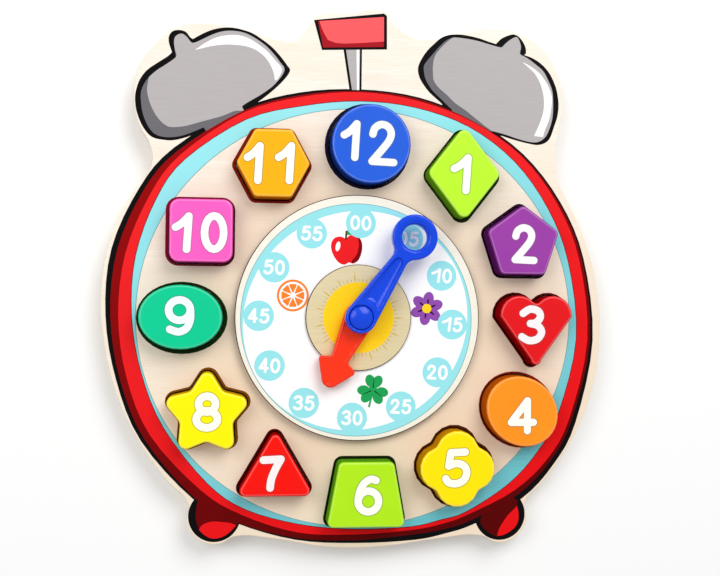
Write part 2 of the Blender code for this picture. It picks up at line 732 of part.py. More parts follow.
def make_hand(name, loops, bottom, thickness, degrees, material, more_cutters=()):
    """A moulded hand on the post's axis, hollow under its hub."""
    top = bottom + thickness
    hand = as_part(extruded(name, loops, bottom, top), material)
    round_edges(hand, HAND_EDGE_ROUND)
    cavity_top = bottom + CAVITY_DEPTH
    cavity = extruded(name + "_cavity", [notched_circle()], bottom - CUT_OVERRUN, cavity_top)
    bore = extruded(name + "_bore", [circle(BORE_RADIUS)], bottom + CAVITY_DEPTH / 2, top + CUT_OVERRUN)
    cutters_here = [as_cutter(cavity), as_cutter(bore), *more_cutters]
    turn = Matrix.Rotation(math.radians(-degrees), 4, "Z")
    for item in cutters_here:
        cut(hand, item)
        item.matrix_world = turn @ Matrix.Translation(item.location)
    hand.rotation_euler.z = math.radians(-degrees)
    smooth(hand)
    return hand


def make_minute_hand():
    ring = Vector((0, MINUTE_RING_DISTANCE))
    hole = [ring + point for point in circle(MINUTE_HOLE_RADIUS)]
    arm_end = MINUTE_RING_DISTANCE - MINUTE_RING_RADIUS
    middle = (CAP_RADIUS + arm_end) / 2
    scoop = scoop_cutter("scoop", MINUTE_SCOOP_HALF_WIDTH, MINUTE_SCOOP_HALF_LENGTH, middle, MINUTE_TOP)
    loops = [minute_outline(), hole]
    hand = make_hand(
        "minute_hand", loops, MINUTE_BOTTOM, MINUTE_THICKNESS, MINUTE_HAND_DEGREES, "blue_plastic", [scoop])
    seat = extruded(
        "cap_seat", [circle(CAP_RADIUS + RUN_GAP)], MINUTE_TOP - CAP_SEAT_DEPTH, MINUTE_TOP + CUT_OVERRUN)
    cut(hand, as_cutter(seat))


def make_hour_hand():
    make_hand("hour_hand", [hour_outline()], HOUR_BOTTOM, HOUR_THICKNESS, HOUR_HAND_DEGREES, "red_plastic")


def main():
    make_boards()
    make_disc("dial_plate", DIAL_RADIUS, FRONT_TOP, DIAL_TOP, "white_dial", DIAL_EDGE_ROUND)
    make_disc("sun_disc", SUN_RADIUS, DIAL_TOP, SUN_TOP, "sun_wood")
    for name in BLOCK_OUTLINES:
        make_block(name)
    make_post()
    make_washer("lower_washer", SUN_TOP)
    make_washer("middle_washer", MIDDLE_WASHER_BOTTOM)
    make_click_spring("hour_click_spring", HOUR_BOTTOM)
    make_click_spring("minute_click_spring", MINUTE_BOTTOM)
    make_hour_hand()
    make_minute_hand()
    make_cap()


clear_scene()
parts = new_collection("shape_sorting_clock")
cutters = new_collection("cutters")
main()
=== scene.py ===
# %% [markdown]
# # A shape sorting clock
#
# The real thing is a puzzle board for a small child: plywood in the outline of a twin-bell alarm
# clock, lying on its back. Twelve painted blocks lift out of cut-outs of their own shape, and two
# moulded hands turn on a raised dial. The working parts come from a fixed frame, which this lesson
# loads first. What follows dresses them: eased plywood, printed inks, sprayed blocks with their
# numbers, a printed dial and glossy hands.

# %% Load the frame
import json
import math

import bmesh
import bpy
from mathutils import Euler, Matrix, Vector
from mathutils.geometry import delaunay_2d_cdt

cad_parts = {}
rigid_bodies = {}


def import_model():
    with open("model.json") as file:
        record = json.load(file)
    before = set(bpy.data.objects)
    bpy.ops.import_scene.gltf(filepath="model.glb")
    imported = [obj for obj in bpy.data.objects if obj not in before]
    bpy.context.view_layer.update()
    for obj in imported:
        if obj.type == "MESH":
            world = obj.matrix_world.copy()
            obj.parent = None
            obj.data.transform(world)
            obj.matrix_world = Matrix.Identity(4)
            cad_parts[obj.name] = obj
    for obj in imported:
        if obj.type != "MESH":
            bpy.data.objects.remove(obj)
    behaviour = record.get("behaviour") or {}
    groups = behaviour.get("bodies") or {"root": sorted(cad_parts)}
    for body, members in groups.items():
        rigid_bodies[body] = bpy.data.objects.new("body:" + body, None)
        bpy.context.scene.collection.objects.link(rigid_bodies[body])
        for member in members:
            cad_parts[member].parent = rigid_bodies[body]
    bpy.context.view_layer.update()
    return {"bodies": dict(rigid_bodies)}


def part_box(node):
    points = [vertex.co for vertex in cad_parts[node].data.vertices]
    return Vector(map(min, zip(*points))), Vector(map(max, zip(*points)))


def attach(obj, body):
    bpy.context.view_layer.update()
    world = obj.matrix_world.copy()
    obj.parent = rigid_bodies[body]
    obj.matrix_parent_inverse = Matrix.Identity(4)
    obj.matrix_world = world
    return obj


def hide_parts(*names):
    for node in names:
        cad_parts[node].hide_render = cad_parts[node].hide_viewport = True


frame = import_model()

# %% [markdown]
# ## Camera, light and floor
#
# The clock is seen almost straight from above, from a little to the left of its middle. One large
# soft lamp beyond the upper right edge gives the blocks their shadows down to the left, a weaker one
# fills them, and the pale sky does the rest. The levels are low enough that a colour renders about
# as it is written. The floor is white, and it keeps the shadow under the board.

# %% Units and colours
MM = 0.001


def hex_colour(text, alpha=1.0):
    """Linear colour of an sRGB hex value."""
    values = []
    for start in (0, 2, 4):
        share = int(text[start:start + 2], 16) / 255
        values.append(share / 12.92 if share <= 0.04045 else ((share + 0.055) / 1.055) ** 2.4)
    return (*values, alpha)


def add(tree, kind, inputs=None, **settings):
    """Adds a node. An input is a value or another node's output."""
    node = tree.nodes.new(kind)
    for name, value in settings.items():
        setattr(node, name, value)
    for name, value in (inputs or {}).items():
        if isinstance(value, bpy.types.NodeSocket):
            tree.links.new(value, node.inputs[name])
        else:
            node.inputs[name].default_value = value
    return node


# %% Camera
CAMERA_PLACE = Vector((-0.068, 0.003, 0.595))
CAMERA_TURN_DEGREES = (1.18, -6.8, 0.55)
CAMERA_LENS = 55.0

camera_data = bpy.data.cameras.new("camera")
camera_data.lens = CAMERA_LENS
camera_data.sensor_width = 36.0
camera = bpy.data.objects.new("camera", camera_data)
camera.location = CAMERA_PLACE
camera.rotation_euler = [math.radians(degrees) for degrees in CAMERA_TURN_DEGREES]
bpy.context.scene.collection.objects.link(camera)
bpy.context.scene.camera = camera
bpy.context.scene.view_settings.view_transform = "Standard"
print("The camera stands", round(CAMERA_PLACE.length, 3), "m from the hands' axis")

# %% Lamps, sky and floor
LAMPS = (
    ("window_lamp", (0.55, 0.95, 1.25), 1.1, 14.2),
    ("fill_lamp", (-0.78, 0.42, 1.18), 0.9, 6.2),
)
SKY_LEVEL = 0.53
FLOOR_SIZE = 6.0
FLOOR_DROP = 0.0002


def make_lamp(name, place, size, watts):
    data = bpy.data.lights.new(name, "AREA")
    data.shape = "DISK"
    data.size = size
    data.energy = watts
    lamp = bpy.data.objects.new(name, data)
    lamp.location = place
    lamp.rotation_euler = (-Vector(place)).to_track_quat("-Z", "Y").to_euler()
    bpy.context.scene.collection.objects.link(lamp)
    return lamp


for lamp_row in LAMPS:
    make_lamp(*lamp_row)

sky = bpy.data.worlds.new("pale_sky")
sky.use_nodes = True
sky.node_tree.nodes["Background"].inputs["Color"].default_value = hex_colour("FFFFFF")
sky.node_tree.nodes["Background"].inputs["Strength"].default_value = SKY_LEVEL
bpy.context.scene.world = sky

floor_material = bpy.data.materials.new("matt_white_floor")
floor_material.use_nodes = True
floor_shader = floor_material.node_tree.nodes["Principled BSDF"]
floor_shader.inputs["Base Color"].default_value = hex_colour("F8F8F8")
floor_shader.inputs["Roughness"].default_value = 0.9
floor_shader.inputs["Specular IOR Level"].default_value = 0.1
bpy.ops.mesh.primitive_plane_add(size=FLOOR_SIZE, location=(0, 0, -FLOOR_DROP))
floor = bpy.context.object
floor.name = "floor"
floor.data.materials.append(floor_material)
print("Lamps:", ", ".join(row[0] for row in LAMPS))

# %% [markdown]
# ## Finishes
#
# Each finish starts from what the real one is. Rotary-cut birch is pale and even, with short fine
# grain and hardly any figure, and its edge shows the plies. The wood is burnt brown where the holes
# were cut, and darkened further there as painted shade. Painted shade also tans the wood between
# the blocks round the dial, and darkens the board, the dial and three inks towards the lower right.
# The sun disc is toned. Inks are printed straight on the wood, so a little of the grain still shows
# through. The blocks are sprayed with a satin paint, with painted shade on their sides and a painted
# highlight on their rounded edges. The hands are ABS from a polished mould. All patterns read object
# coordinates, in metres, so a pattern's scale is one over its real size.

# %% Shared patterns
GRAIN_WIDTH = 0.7 * MM
GRAIN_LENGTH = 14 * MM
PLY = 1.45 * MM
PAINT_RIPPLE = 1.6 * MM
FADE_DIRECTION = (-0.35, 0.94, 0.0)
FADE_REACH = 110 * MM


def new_material(name, roughness, **settings):
    """A material with its shader's plain values set, and its tree ready for patterns."""
    material = bpy.data.materials.new(name)
    material.use_nodes = True
    shader = material.node_tree.nodes["Principled BSDF"]
    shader.inputs["Roughness"].default_value = roughness
    for socket, value in settings.items():
        shader.inputs[socket.replace("_", " ")].default_value = value
    return material, material.node_tree, shader


def grain(tree, width, length, detail=4.0):
    """Fine streaks along X, from 0 to 1."""
    place = add(tree, "ShaderNodeTexCoord").outputs["Object"]
    stretched = add(tree, "ShaderNodeMapping", {
        "Vector": place, "Scale": (1 / length, 1 / width, 1 / length)})
    noise = add(tree, "ShaderNodeTexNoise", {"Vector": stretched.outputs[0], "Scale": 1.0, "Detail": detail})
    return noise.outputs["Fac"]


def blotches(tree, size, detail=2.0):
    """Soft cloudy variation, from 0 to 1."""
    place = add(tree, "ShaderNodeTexCoord").outputs["Object"]
    noise = add(tree, "ShaderNodeTexNoise", {"Vector": place, "Scale": 1 / size, "Detail": detail})
    return noise.outputs["Fac"]


def ranged(tree, value, low, high, from_low=0.3, from_high=0.7):
    """A pattern stretched from one range to another."""
    inputs = {"Value": value, "From Min": from_low, "From Max": from_high, "To Min": low, "To Max": high}
    return add(tree, "ShaderNodeMapRange", inputs).outputs["Result"]


def mixed(tree, factor, first, second):
    """A colour between two colours. Each is a hex text or another node's output."""
    node = add(tree, "ShaderNodeMix", {"Factor": factor}, data_type="RGBA")
    for socket, colour in ((node.inputs[6], first), (node.inputs[7], second)):
        if isinstance(colour, str):
            socket.default_value = hex_colour(colour)
        else:
            tree.links.new(colour, socket)
    return node.outputs[2]


def painted_falloff(tree, low, high):
    """Painted shade: a colour from the low one at the board's lower right to the high one at its upper left.
    """
    place = add(tree, "ShaderNodeTexCoord").outputs["Object"]
    along = add(tree, "ShaderNodeVectorMath", {0: place, 1: FADE_DIRECTION}, operation="DOT_PRODUCT")
    share = ranged(tree, along.outputs["Value"], 0.0, 1.0, -FADE_REACH, FADE_REACH)
    return mixed(tree, share, low, high)


def bumped(tree, shader, height, strength, distance):
    inputs = {"Height": height, "Strength": strength, "Distance": distance}
    bump = add(tree, "ShaderNodeBump", inputs)
    tree.links.new(bump.outputs["Normal"], shader.inputs["Normal"])


# %% Birch plywood
# Inner edges within this reach of the hub are burnt, and darkened further as painted shade.
BURNT_AND_SHADED_REACH = 117 * MM
# Painted shade: the face turns tan between these distances from the hub, among the blocks.
BLOCK_SHADOW_REACH, BLOCK_SHADOW_TONE = (74 * MM, 112 * MM), "F1D3B0"


def birch_plywood(name, face, low_face, streak, edge, glue, block_shadow=0.0):
    """Lacquered birch veneer with painted shade on the face, plies and glue lines on the outer edge, burnt
    inner edges darkened as painted shade.
    """
    material, tree, shader = new_material(name, 0.42)
    fine = grain(tree, GRAIN_WIDTH, GRAIN_LENGTH)
    broad = grain(tree, 9 * GRAIN_WIDTH, 5 * GRAIN_LENGTH, 2.0)
    # Painted shade: the veneer darkens towards the lower right.
    veneer = mixed(tree, ranged(tree, fine, 0.0, 0.5), painted_falloff(tree, low_face, face), streak)
    veneer = mixed(tree, ranged(tree, broad, 0.0, 0.35), veneer, streak)
    whole_place = add(tree, "ShaderNodeTexCoord").outputs["Object"]
    reach = add(tree, "ShaderNodeVectorMath", {0: whole_place}, operation="LENGTH").outputs["Value"]
    # Painted shade among the blocks.
    veneer = mixed(tree, ranged(tree, reach, block_shadow, 0.0, *BLOCK_SHADOW_REACH), veneer, BLOCK_SHADOW_TONE)
    place = add(tree, "ShaderNodeSeparateXYZ", {0: whole_place})
    ply = add(tree, "ShaderNodeMath", {0: place.outputs["Z"], 1: PLY}, operation="DIVIDE").outputs[0]
    share = add(tree, "ShaderNodeMath", {0: ply, 1: 1.0}, operation="WRAP").outputs[0]
    share.node.inputs[2].default_value = 0.0
    even = add(tree, "ShaderNodeMath", {0: ply, 1: 2.0}, operation="WRAP").outputs[0]
    even.node.inputs[2].default_value = 0.0
    cross = add(tree, "ShaderNodeMath", {0: even, 1: 1.0}, operation="GREATER_THAN").outputs[0]
    line = add(tree, "ShaderNodeMath", {0: share, 1: 0.12}, operation="LESS_THAN").outputs[0]
    sawn = mixed(tree, cross, edge, streak)
    sawn = mixed(tree, ranged(tree, fine, 0.0, 0.5), sawn, edge)
    sawn = mixed(tree, line, sawn, glue)
    inner = add(tree, "ShaderNodeMath", {0: reach, 1: BURNT_AND_SHADED_REACH}, operation="LESS_THAN").outputs[0]
    # Inner edges: burnt brown where they were cut, and darker than the burn alone as painted shade.
    sawn = mixed(tree, inner, sawn, mixed(tree, ranged(tree, fine, 0.0, 0.6), "340C06", "521A0C"))
    facing = add(tree, "ShaderNodeSeparateXYZ", {0: add(tree, "ShaderNodeNewGeometry").outputs["Normal"]})
    upright = add(tree, "ShaderNodeMath", {0: facing.outputs["Z"]}, operation="ABSOLUTE").outputs[0]
    full_face = ranged(tree, inner, 0.75, 0.995, 0.0, 1.0)
    is_face = add(tree, "ShaderNodeMath", {0: upright, 1: full_face}, operation="GREATER_THAN").outputs[0]
    tree.links.new(mixed(tree, is_face, sawn, veneer), shader.inputs["Base Color"])
    tree.links.new(ranged(tree, is_face, 0.03, 0.25, 0.0, 1.0), shader.inputs["Specular IOR Level"])
    tree.links.new(ranged(tree, fine, 0.36, 0.50), shader.inputs["Roughness"])
    bumped(tree, shader, fine, 0.10, 0.05 * MM)
    return material


# F2DEC6 is the painted shade at the lower right; 0.45 is how much painted shade tans the wood between the
# blocks.
BIRCH = birch_plywood("lacquered_birch_plywood", "FBF4EB", "F2DEC6", "EBD8BF", "EFE2CC", "CDB28C", 0.45)


# %% Printing inks, sprayed paint and moulded plastic
# Where the painted highlight sits on a block's rounded edge, how wide it is and how strong.
EDGE_FACING, EDGE_SPREAD, EDGE_HIGHLIGHT = 0.93, 0.07, 0.45


def printing_ink(name, colour, shade, shaded_low_colour=None):
    """Ultraviolet-cured ink on veneer: even colour, or darker towards the lower right as painted shade, with
    a trace of the grain, satin.
    """
    material, tree, shader = new_material(name, 0.38, Specular_IOR_Level=0.04)
    fine = grain(tree, GRAIN_WIDTH, GRAIN_LENGTH)
    # Painted shade towards the lower right, where a third colour is given.
    ground = painted_falloff(tree, shaded_low_colour, colour) if shaded_low_colour else colour
    tree.links.new(mixed(tree, ranged(tree, fine, 0.0, 0.25), ground, shade), shader.inputs["Base Color"])
    tree.links.new(ranged(tree, fine, 0.34, 0.44), shader.inputs["Roughness"])
    bumped(tree, shader, fine, 0.06, 0.05 * MM)
    return material


def blended(first, second, share):
    """The hex colour at a share of the way from one to another."""
    pairs = [(int(first[at:at + 2], 16), int(second[at:at + 2], 16)) for at in (0, 2, 4)]
    return "".join(f"{round(low + (high - low) * share):02X}" for low, high in pairs)


def sprayed_paint(name, colour, shade, shaded_side_colour):
    """Satin water-based paint sprayed on hardwood: faint ripple, painted highlight on the rounded edge,
    painted shade on the sides.
    """
    material, tree, shader = new_material(name, 0.34)
    cloud = blotches(tree, 14 * MM)
    fine = grain(tree, GRAIN_WIDTH, GRAIN_LENGTH)
    base = mixed(tree, ranged(tree, cloud, 0.0, 0.22), colour, shade)
    base = mixed(tree, ranged(tree, fine, 0.0, 0.14), base, shade)
    facing = add(tree, "ShaderNodeSeparateXYZ", {0: add(tree, "ShaderNodeNewGeometry").outputs["Normal"]})
    off_edge = add(
        tree, "ShaderNodeMath", {0: facing.outputs["Z"], 1: EDGE_FACING}, operation="SUBTRACT").outputs[0]
    off_edge = add(tree, "ShaderNodeMath", {0: off_edge}, operation="ABSOLUTE").outputs[0]
    # Painted highlight: a paler band where the rounded edge faces about 22 degrees off upright.
    pale = ranged(tree, off_edge, EDGE_HIGHLIGHT, 0.0, 0.0, EDGE_SPREAD)
    base = mixed(tree, pale, base, blended(colour, "FFFFFF", 0.6))
    # Painted shade: the sides take the darker side colour and lose their gloss.
    side = ranged(tree, facing.outputs["Z"], 1.0, 0.0, 0.15, 0.75)
    base = mixed(tree, side, base, shaded_side_colour)
    tree.links.new(base, shader.inputs["Base Color"])
    tree.links.new(ranged(tree, side, 0.14, 0.0, 0.0, 1.0), shader.inputs["Specular IOR Level"])
    tree.links.new(ranged(tree, cloud, 0.28, 0.38), shader.inputs["Roughness"])
    bumped(tree, shader, blotches(tree, PAINT_RIPPLE), 0.08, 0.05 * MM)
    return material


def moulded_abs(name, colour, shade):
    """ABS from a polished mould: saturated colour, a modest gloss and hardly any ripple."""
    material, tree, shader = new_material(name, 0.16, IOR=1.54, Specular_IOR_Level=0.28)
    cloud = blotches(tree, 9 * MM)
    tree.links.new(mixed(tree, ranged(tree, cloud, 0.0, 0.25), colour, shade), shader.inputs["Base Color"])
    tree.links.new(ranged(tree, cloud, 0.14, 0.20), shader.inputs["Roughness"])
    bumped(tree, shader, blotches(tree, 2.5 * MM), 0.03, 0.05 * MM)
    return material


def brushed_metal(name, colour, shade):
    """Pressed spring steel: grey, with fine brush marks."""
    material, tree, shader = new_material(name, 0.32, Metallic=1.0)
    marks = grain(tree, 0.15 * MM, 4 * MM)
    tree.links.new(mixed(tree, ranged(tree, marks, 0.0, 0.6), colour, shade), shader.inputs["Base Color"])
    tree.links.new(ranged(tree, marks, 0.26, 0.40), shader.inputs["Roughness"])
    return material


# F2EEE0 is the painted shade at the dial's lower right.
DIAL_BIRCH = birch_plywood("pale_dial_plywood", "FAF8EF", "F2EEE0", "EEE6D2", "E9D3B2", "BE9766")
SUN_BIRCH = birch_plywood("toned_sun_veneer", "E8DCB8", "DECFA4", "D5C394", "CDB888", "A07C50")
STEEL = brushed_metal("spring_steel", "8F9297", "6E7176")
WHITE_PLASTIC = moulded_abs("white_nylon", "F4F3EF", "E6E4DE")
print("Finishes ready:", BIRCH.name, DIAL_BIRCH.name, STEEL.name, WHITE_PLASTIC.name)

# %% [markdown]
# ## Drawing tools
#
# Everything is drawn in millimetres, as flat outlines that run anticlockwise. Three tools turn them
# into pieces. A moulding is a closed solid whose walls are chains of contour loops. A skin is a thin
# layer of ink. Printing takes layers in the order in which they would be pasted on, and gives one
# skin for each ink, cut out where a later layer covers it, as a printer's colour separations are.

# %% Outlines
ARC_STEP_DEGREES = 6.0
SAME_POINT = 0.01


def spot(bearing, radius, middle=(0.0, 0.0)):
    """The point at a clock bearing, in degrees clockwise from twelve."""
    angle = math.radians(90 - bearing)
    return Vector((middle[0] + radius * math.cos(angle), middle[1] + radius * math.sin(angle)))


def placed(points, middle=(0.0, 0.0), bearing=0.0, scale=1.0):
    """Points scaled, turned clockwise and moved."""
    turn = Matrix.Rotation(math.radians(-bearing), 2)
    return [turn @ (Vector(point) * scale) + Vector(middle) for point in points]


def oval(middle, half_width, half_height, power=2.0, bearing=0.0, count=72):
    """An ellipse. A power above 2 gives it squarer shoulders."""
    points = []
    for step in range(count):
        across, up = math.cos(2 * math.pi * step / count), math.sin(2 * math.pi * step / count)
        x = math.copysign(abs(across) ** (2 / power), across) * half_width
        y = math.copysign(abs(up) ** (2 / power), up) * half_height
        points.append((x, y))
    return placed(points, middle, bearing)


def arc(centre, radius, start, end):
    """Points from one angle to another, in radians."""
    steps = max(2, math.ceil(abs(end - start) / math.radians(ARC_STEP_DEGREES)))
    angles = [start + (end - start) * step / steps for step in range(steps + 1)]
    return [Vector(centre) + radius * Vector((math.cos(angle), math.sin(angle))) for angle in angles]


def rounded(corners):
    """An outline through (x, y, radius) corners."""
    points = []
    for index, (x, y, radius) in enumerate(corners):
        corner = Vector((x, y))
        before = (Vector(corners[index - 1][:2]) - corner).normalized()
        after = (Vector(corners[(index + 1) % len(corners)][:2]) - corner).normalized()
        half_angle = before.angle(after) / 2
        centre = corner + (before + after).normalized() * radius / math.sin(half_angle)
        start = corner + before * radius / math.tan(half_angle) - centre
        end = corner + after * radius / math.tan(half_angle) - centre
        sweep = math.remainder(math.atan2(end.y, end.x) - math.atan2(start.y, start.x), 2 * math.pi)
        start_angle = math.atan2(start.y, start.x)
        points += arc(centre, radius, start_angle, start_angle + sweep)
    return points


def through(points, corners=(), closed=True, steps=4):
    """A smooth line through points, with a break at each numbered corner."""
    count = len(points)
    breaks = set(corners) if closed else {0, count - 1, *corners}
    line = []
    for first in range(count if closed else count - 1):
        last = (first + 1) % count
        before = first if first in breaks else (first - 1) % count
        after = last if last in breaks else (last + 1) % count
        a, b, c, d = (Vector(points[number]) for number in (before, first, last, after))
        for step in range(steps):
            t = step / steps
            bend = (2 * a - 5 * b + 4 * c - d) * t ** 2 + (3 * b - a - 3 * c + d) * t ** 3
            line.append((2 * b + (c - a) * t + bend) / 2)
    if not closed:
        line.append(Vector(points[-1]))
    return line


def cleaned(outline):
    """The outline without points that repeat their neighbour."""
    return [point for index, point in enumerate(outline) if (point - outline[index - 1]).length > SAME_POINT]


def grown(outline, distance):
    """The outline moved outward by a distance, or inward by a negative one."""
    moved = []
    for index, point in enumerate(outline):
        before = (point - outline[index - 1]).normalized()
        after = (outline[(index + 1) % len(outline)] - point).normalized()
        normal_before = Vector((before.y, -before.x))
        normal_after = Vector((after.y, -after.x))
        normal = (normal_before + normal_after).normalized()
        moved.append(point + normal * distance / normal.dot(normal_after))
    return moved


def wall_outline(node, level, tolerance=0.05):
    """The outline of a fixed part at one level, anticlockwise round the middle of its box."""
    low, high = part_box(node)
    middle = (low + high).xy / 2 / MM
    found = {}
    for vertex in bpy.data.objects[node].data.vertices:
        point = vertex.co / MM
        if abs(point.z - level) < tolerance:
            found[(round(point.x, 2), round(point.y, 2))] = point.xy.copy()
    return sorted(found.values(), key=lambda point: math.atan2(point.y - middle.y, point.x - middle.x))


print("A test outline has", len(wall_outline("block_12_circle", 5.4)), "points")

# %% Solids and skins
WELD = 0.001
EASE_STEPS = 4
SKIN_BELOW = 0.01
SKIN_ABOVE = 0.03


def anticlockwise(loop):
    """The loop as flat points, turned round if it runs clockwise."""
    points = [Vector((point[0], point[1])) for point in loop]
    twice_area = sum(points[index - 1].cross(point) for index, point in enumerate(points))
    return points if twice_area > 0 else points[::-1]


def flat_areas(loops):
    """Triangles of each loop's area. A later loop hides what lies under it."""
    points, rings = [], []
    for loop in loops:
        rings.append(list(range(len(points), len(points) + len(loop))))
        points += anticlockwise(loop)
    spots, _, faces, _, _, sources = delaunay_2d_cdt(points, [], rings, 1, WELD / 2, True)
    areas = [[] for _ in loops]
    for face, source in zip(faces, sources):
        if source:
            areas[max(source)].append(tuple(face))
    return spots, areas


def shade(mesh, degrees):
    """Smooths corners whose faces meet at less than an angle. Larger faces count for more."""
    limit = math.cos(math.radians(degrees))
    normals = [face.normal.copy() for face in mesh.polygons]
    weights = [face.area for face in mesh.polygons]
    around = [[] for _ in mesh.vertices]
    for number, face in enumerate(mesh.polygons):
        for vertex in face.vertices:
            around[vertex].append(number)
    corners = []
    for number, face in enumerate(mesh.polygons):
        for vertex in face.vertices:
            total = Vector()
            for other in around[vertex]:
                if normals[other].dot(normals[number]) > limit:
                    total += normals[other] * weights[other]
            corners.append(total.normalized())
    mesh.polygons.foreach_set("use_smooth", [True] * len(mesh.polygons))
    mesh.normals_split_custom_set(corners)


def solid(name, spots, faces, material, turn_outward=True, smooth_degrees=40.0):
    """A finished object from points in millimetres."""
    shape = bmesh.new()
    corners = [shape.verts.new(Vector(point) * MM) for point in spots]
    for face in faces:
        shape.faces.new([corners[number] for number in face])
    bmesh.ops.remove_doubles(shape, verts=shape.verts, dist=WELD * MM)
    if turn_outward:
        bmesh.ops.recalc_face_normals(shape, faces=shape.faces)
    mesh = bpy.data.meshes.new(name)
    shape.to_mesh(mesh)
    shape.free()
    mesh.materials.append(material)
    shade(mesh, smooth_degrees)
    thing = bpy.data.objects.new(name, mesh)
    bpy.context.scene.collection.objects.link(thing)
    return thing


def at_level(outline, height):
    return [Vector((point[0], point[1], height)) for point in outline]


def eased(outline, face_level, radius, side, steps=EASE_STEPS):
    """Loops of a quarter round, from a wall to a face.

    Side is -1 at an outer wall and 1 at a hole. The radius is negative at a lower face.
    """
    loops = []
    for step in range(steps + 1):
        angle = math.pi / 2 * step / steps
        inset = abs(radius) * (1 - math.cos(angle))
        loops.append(at_level(grown(outline, side * inset), face_level - radius * (1 - math.sin(angle))))
    return loops


def slab(outline, bottom, top, radius, low_radius=None):
    """The chain of loops of a plate with eased edges, from its lower face to its upper one."""
    low = eased(outline, bottom, -(low_radius or radius), -1)
    return [*reversed(low), *eased(outline, top, radius, -1)]


def moulding(name, chains, lids, material, smooth_degrees=40.0):
    """A closed solid. Chains of equal loops are its walls. A lid is an outer loop, then its holes."""
    spots, faces = [], []
    for chain in chains:
        for lower, upper in zip(chain, chain[1:]):
            start, count = len(spots), len(lower)
            spots += [*lower, *upper]
            for step in range(count):
                after = (step + 1) % count
                faces.append((start + step, start + after, start + count + after, start + count + step))
    for loops in lids:
        flat, areas = flat_areas(loops)
        start = len(spots)
        spots += [Vector((point.x, point.y, loops[0][0].z)) for point in flat]
        faces += [tuple(start + number for number in face) for face in areas[0]]
    return solid(name, spots, faces, material, True, smooth_degrees)


def skin(name, spots, faces, bottom, top, material):
    """A thin closed layer over flat triangles."""
    used = sorted({number for face in faces for number in face})
    order = {number: index for index, number in enumerate(used)}
    count = len(used)
    points = [*at_level([spots[number] for number in used], top)]
    points += at_level([spots[number] for number in used], bottom)
    tops = [tuple(order[number] for number in face) for face in faces]
    sides = {(face[index - 1], face[index]) for face in tops for index in range(len(face))}
    walls = [(a, a + count, b + count, b) for a, b in sorted(sides) if (b, a) not in sides]
    floors = [tuple(number + count for number in reversed(face)) for face in tops]
    return solid(name, points, tops + floors + walls, material, False)


def printed(name, layers, level, body, raised=0.0):
    """Prints (ink, outline) layers on a face and fixes them to a body. Ink None leaves it bare."""
    inks = [ink for ink, _ in layers]
    spots, areas = flat_areas([outline for _, outline in layers])
    skins = []
    for ink in dict.fromkeys(inks):
        faces = [face for number, area in enumerate(areas) if inks[number] is ink for face in area]
        if ink is None or not faces:
            continue
        bottom, top = level + raised - SKIN_BELOW, level + raised + SKIN_ABOVE
        thing = skin(f"{name}_{ink.name}", spots, faces, bottom, top, ink)
        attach(thing, body)
        skins.append(thing)
    return skins


def triangles(*things):
    return sum(len(face.vertices) - 2 for thing in things for face in thing.data.polygons)


# %% [markdown]
# ## The two boards
#
# The back is a thin sheet of birch plywood. The front sheet has the same outline and is glued on it,
# after twelve holes have been cut right through it, so that the back sheet is each hole's floor.
# On the real thing the saw's edge is broken with fine paper. Here every edge gets a small quarter
# round, because that is what catches the light.

# %% Boards
BACK_BOTTOM, BACK_TOP = 0.0, 4.0
FRONT_BOTTOM, FRONT_TOP = 4.0, 13.0
BOARD_EASE = 0.5
RECESS_EASE = 0.2
RECESS_CLEARANCE = 0.7
BLOCK_WALL_LEVEL = 5.4
BORE_RADIUS = 2.8
BLOCKS = sorted(name for name in frame["bodies"] if name.startswith("block_"))

body_outline = cleaned(wall_outline("base_board", BACK_BOTTOM))
block_outlines = {name: cleaned(wall_outline(name, BLOCK_WALL_LEVEL)) for name in BLOCKS}
recess_outlines = {name: grown(outline, RECESS_CLEARANCE) for name, outline in block_outlines.items()}

back_chain = slab(body_outline, BACK_BOTTOM, BACK_TOP, 0.1, BOARD_EASE)
back_sheet = moulding("back_sheet", [back_chain], [[back_chain[0]], [back_chain[-1]]], BIRCH)
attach(back_sheet, "board")
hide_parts("base_board")

front_chain = slab(body_outline, FRONT_BOTTOM, FRONT_TOP, BOARD_EASE, 0.1)
hole_chains = []
for outline in recess_outlines.values():
    hole_chains.append([at_level(outline, FRONT_BOTTOM), *eased(outline, FRONT_TOP, RECESS_EASE, 1)])
bore = oval((0, 0), BORE_RADIUS, BORE_RADIUS, count=36)
hole_chains.append([at_level(bore, FRONT_BOTTOM), at_level(bore, FRONT_TOP)])
front_lids = [
    [front_chain[0], *(chain[0] for chain in hole_chains)],
    [front_chain[-1], *(chain[-1] for chain in hole_chains)],
]
front_sheet = moulding("front_sheet", [front_chain, *hole_chains], front_lids, BIRCH)
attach(front_sheet, "board")
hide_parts("front_board")
print("Boards:", triangles(back_sheet, front_sheet), "triangles; outline of", len(body_outline), "points")

# %% [markdown]
# ## The print on the board
#
# The alarm clock is a drawing on bare wood: two bells and a carrying handle, two feet, and a thick
# ring in black, two reds and light blue. Such a print is made in one pass with opaque inks. Here the
# outlines are pasted one on the other, and every ink keeps only what stays visible. Each hole has a
# thin dark outline of its own, a little out of register, as on the real board, and the print laps a
# little over the hole's eased edge.

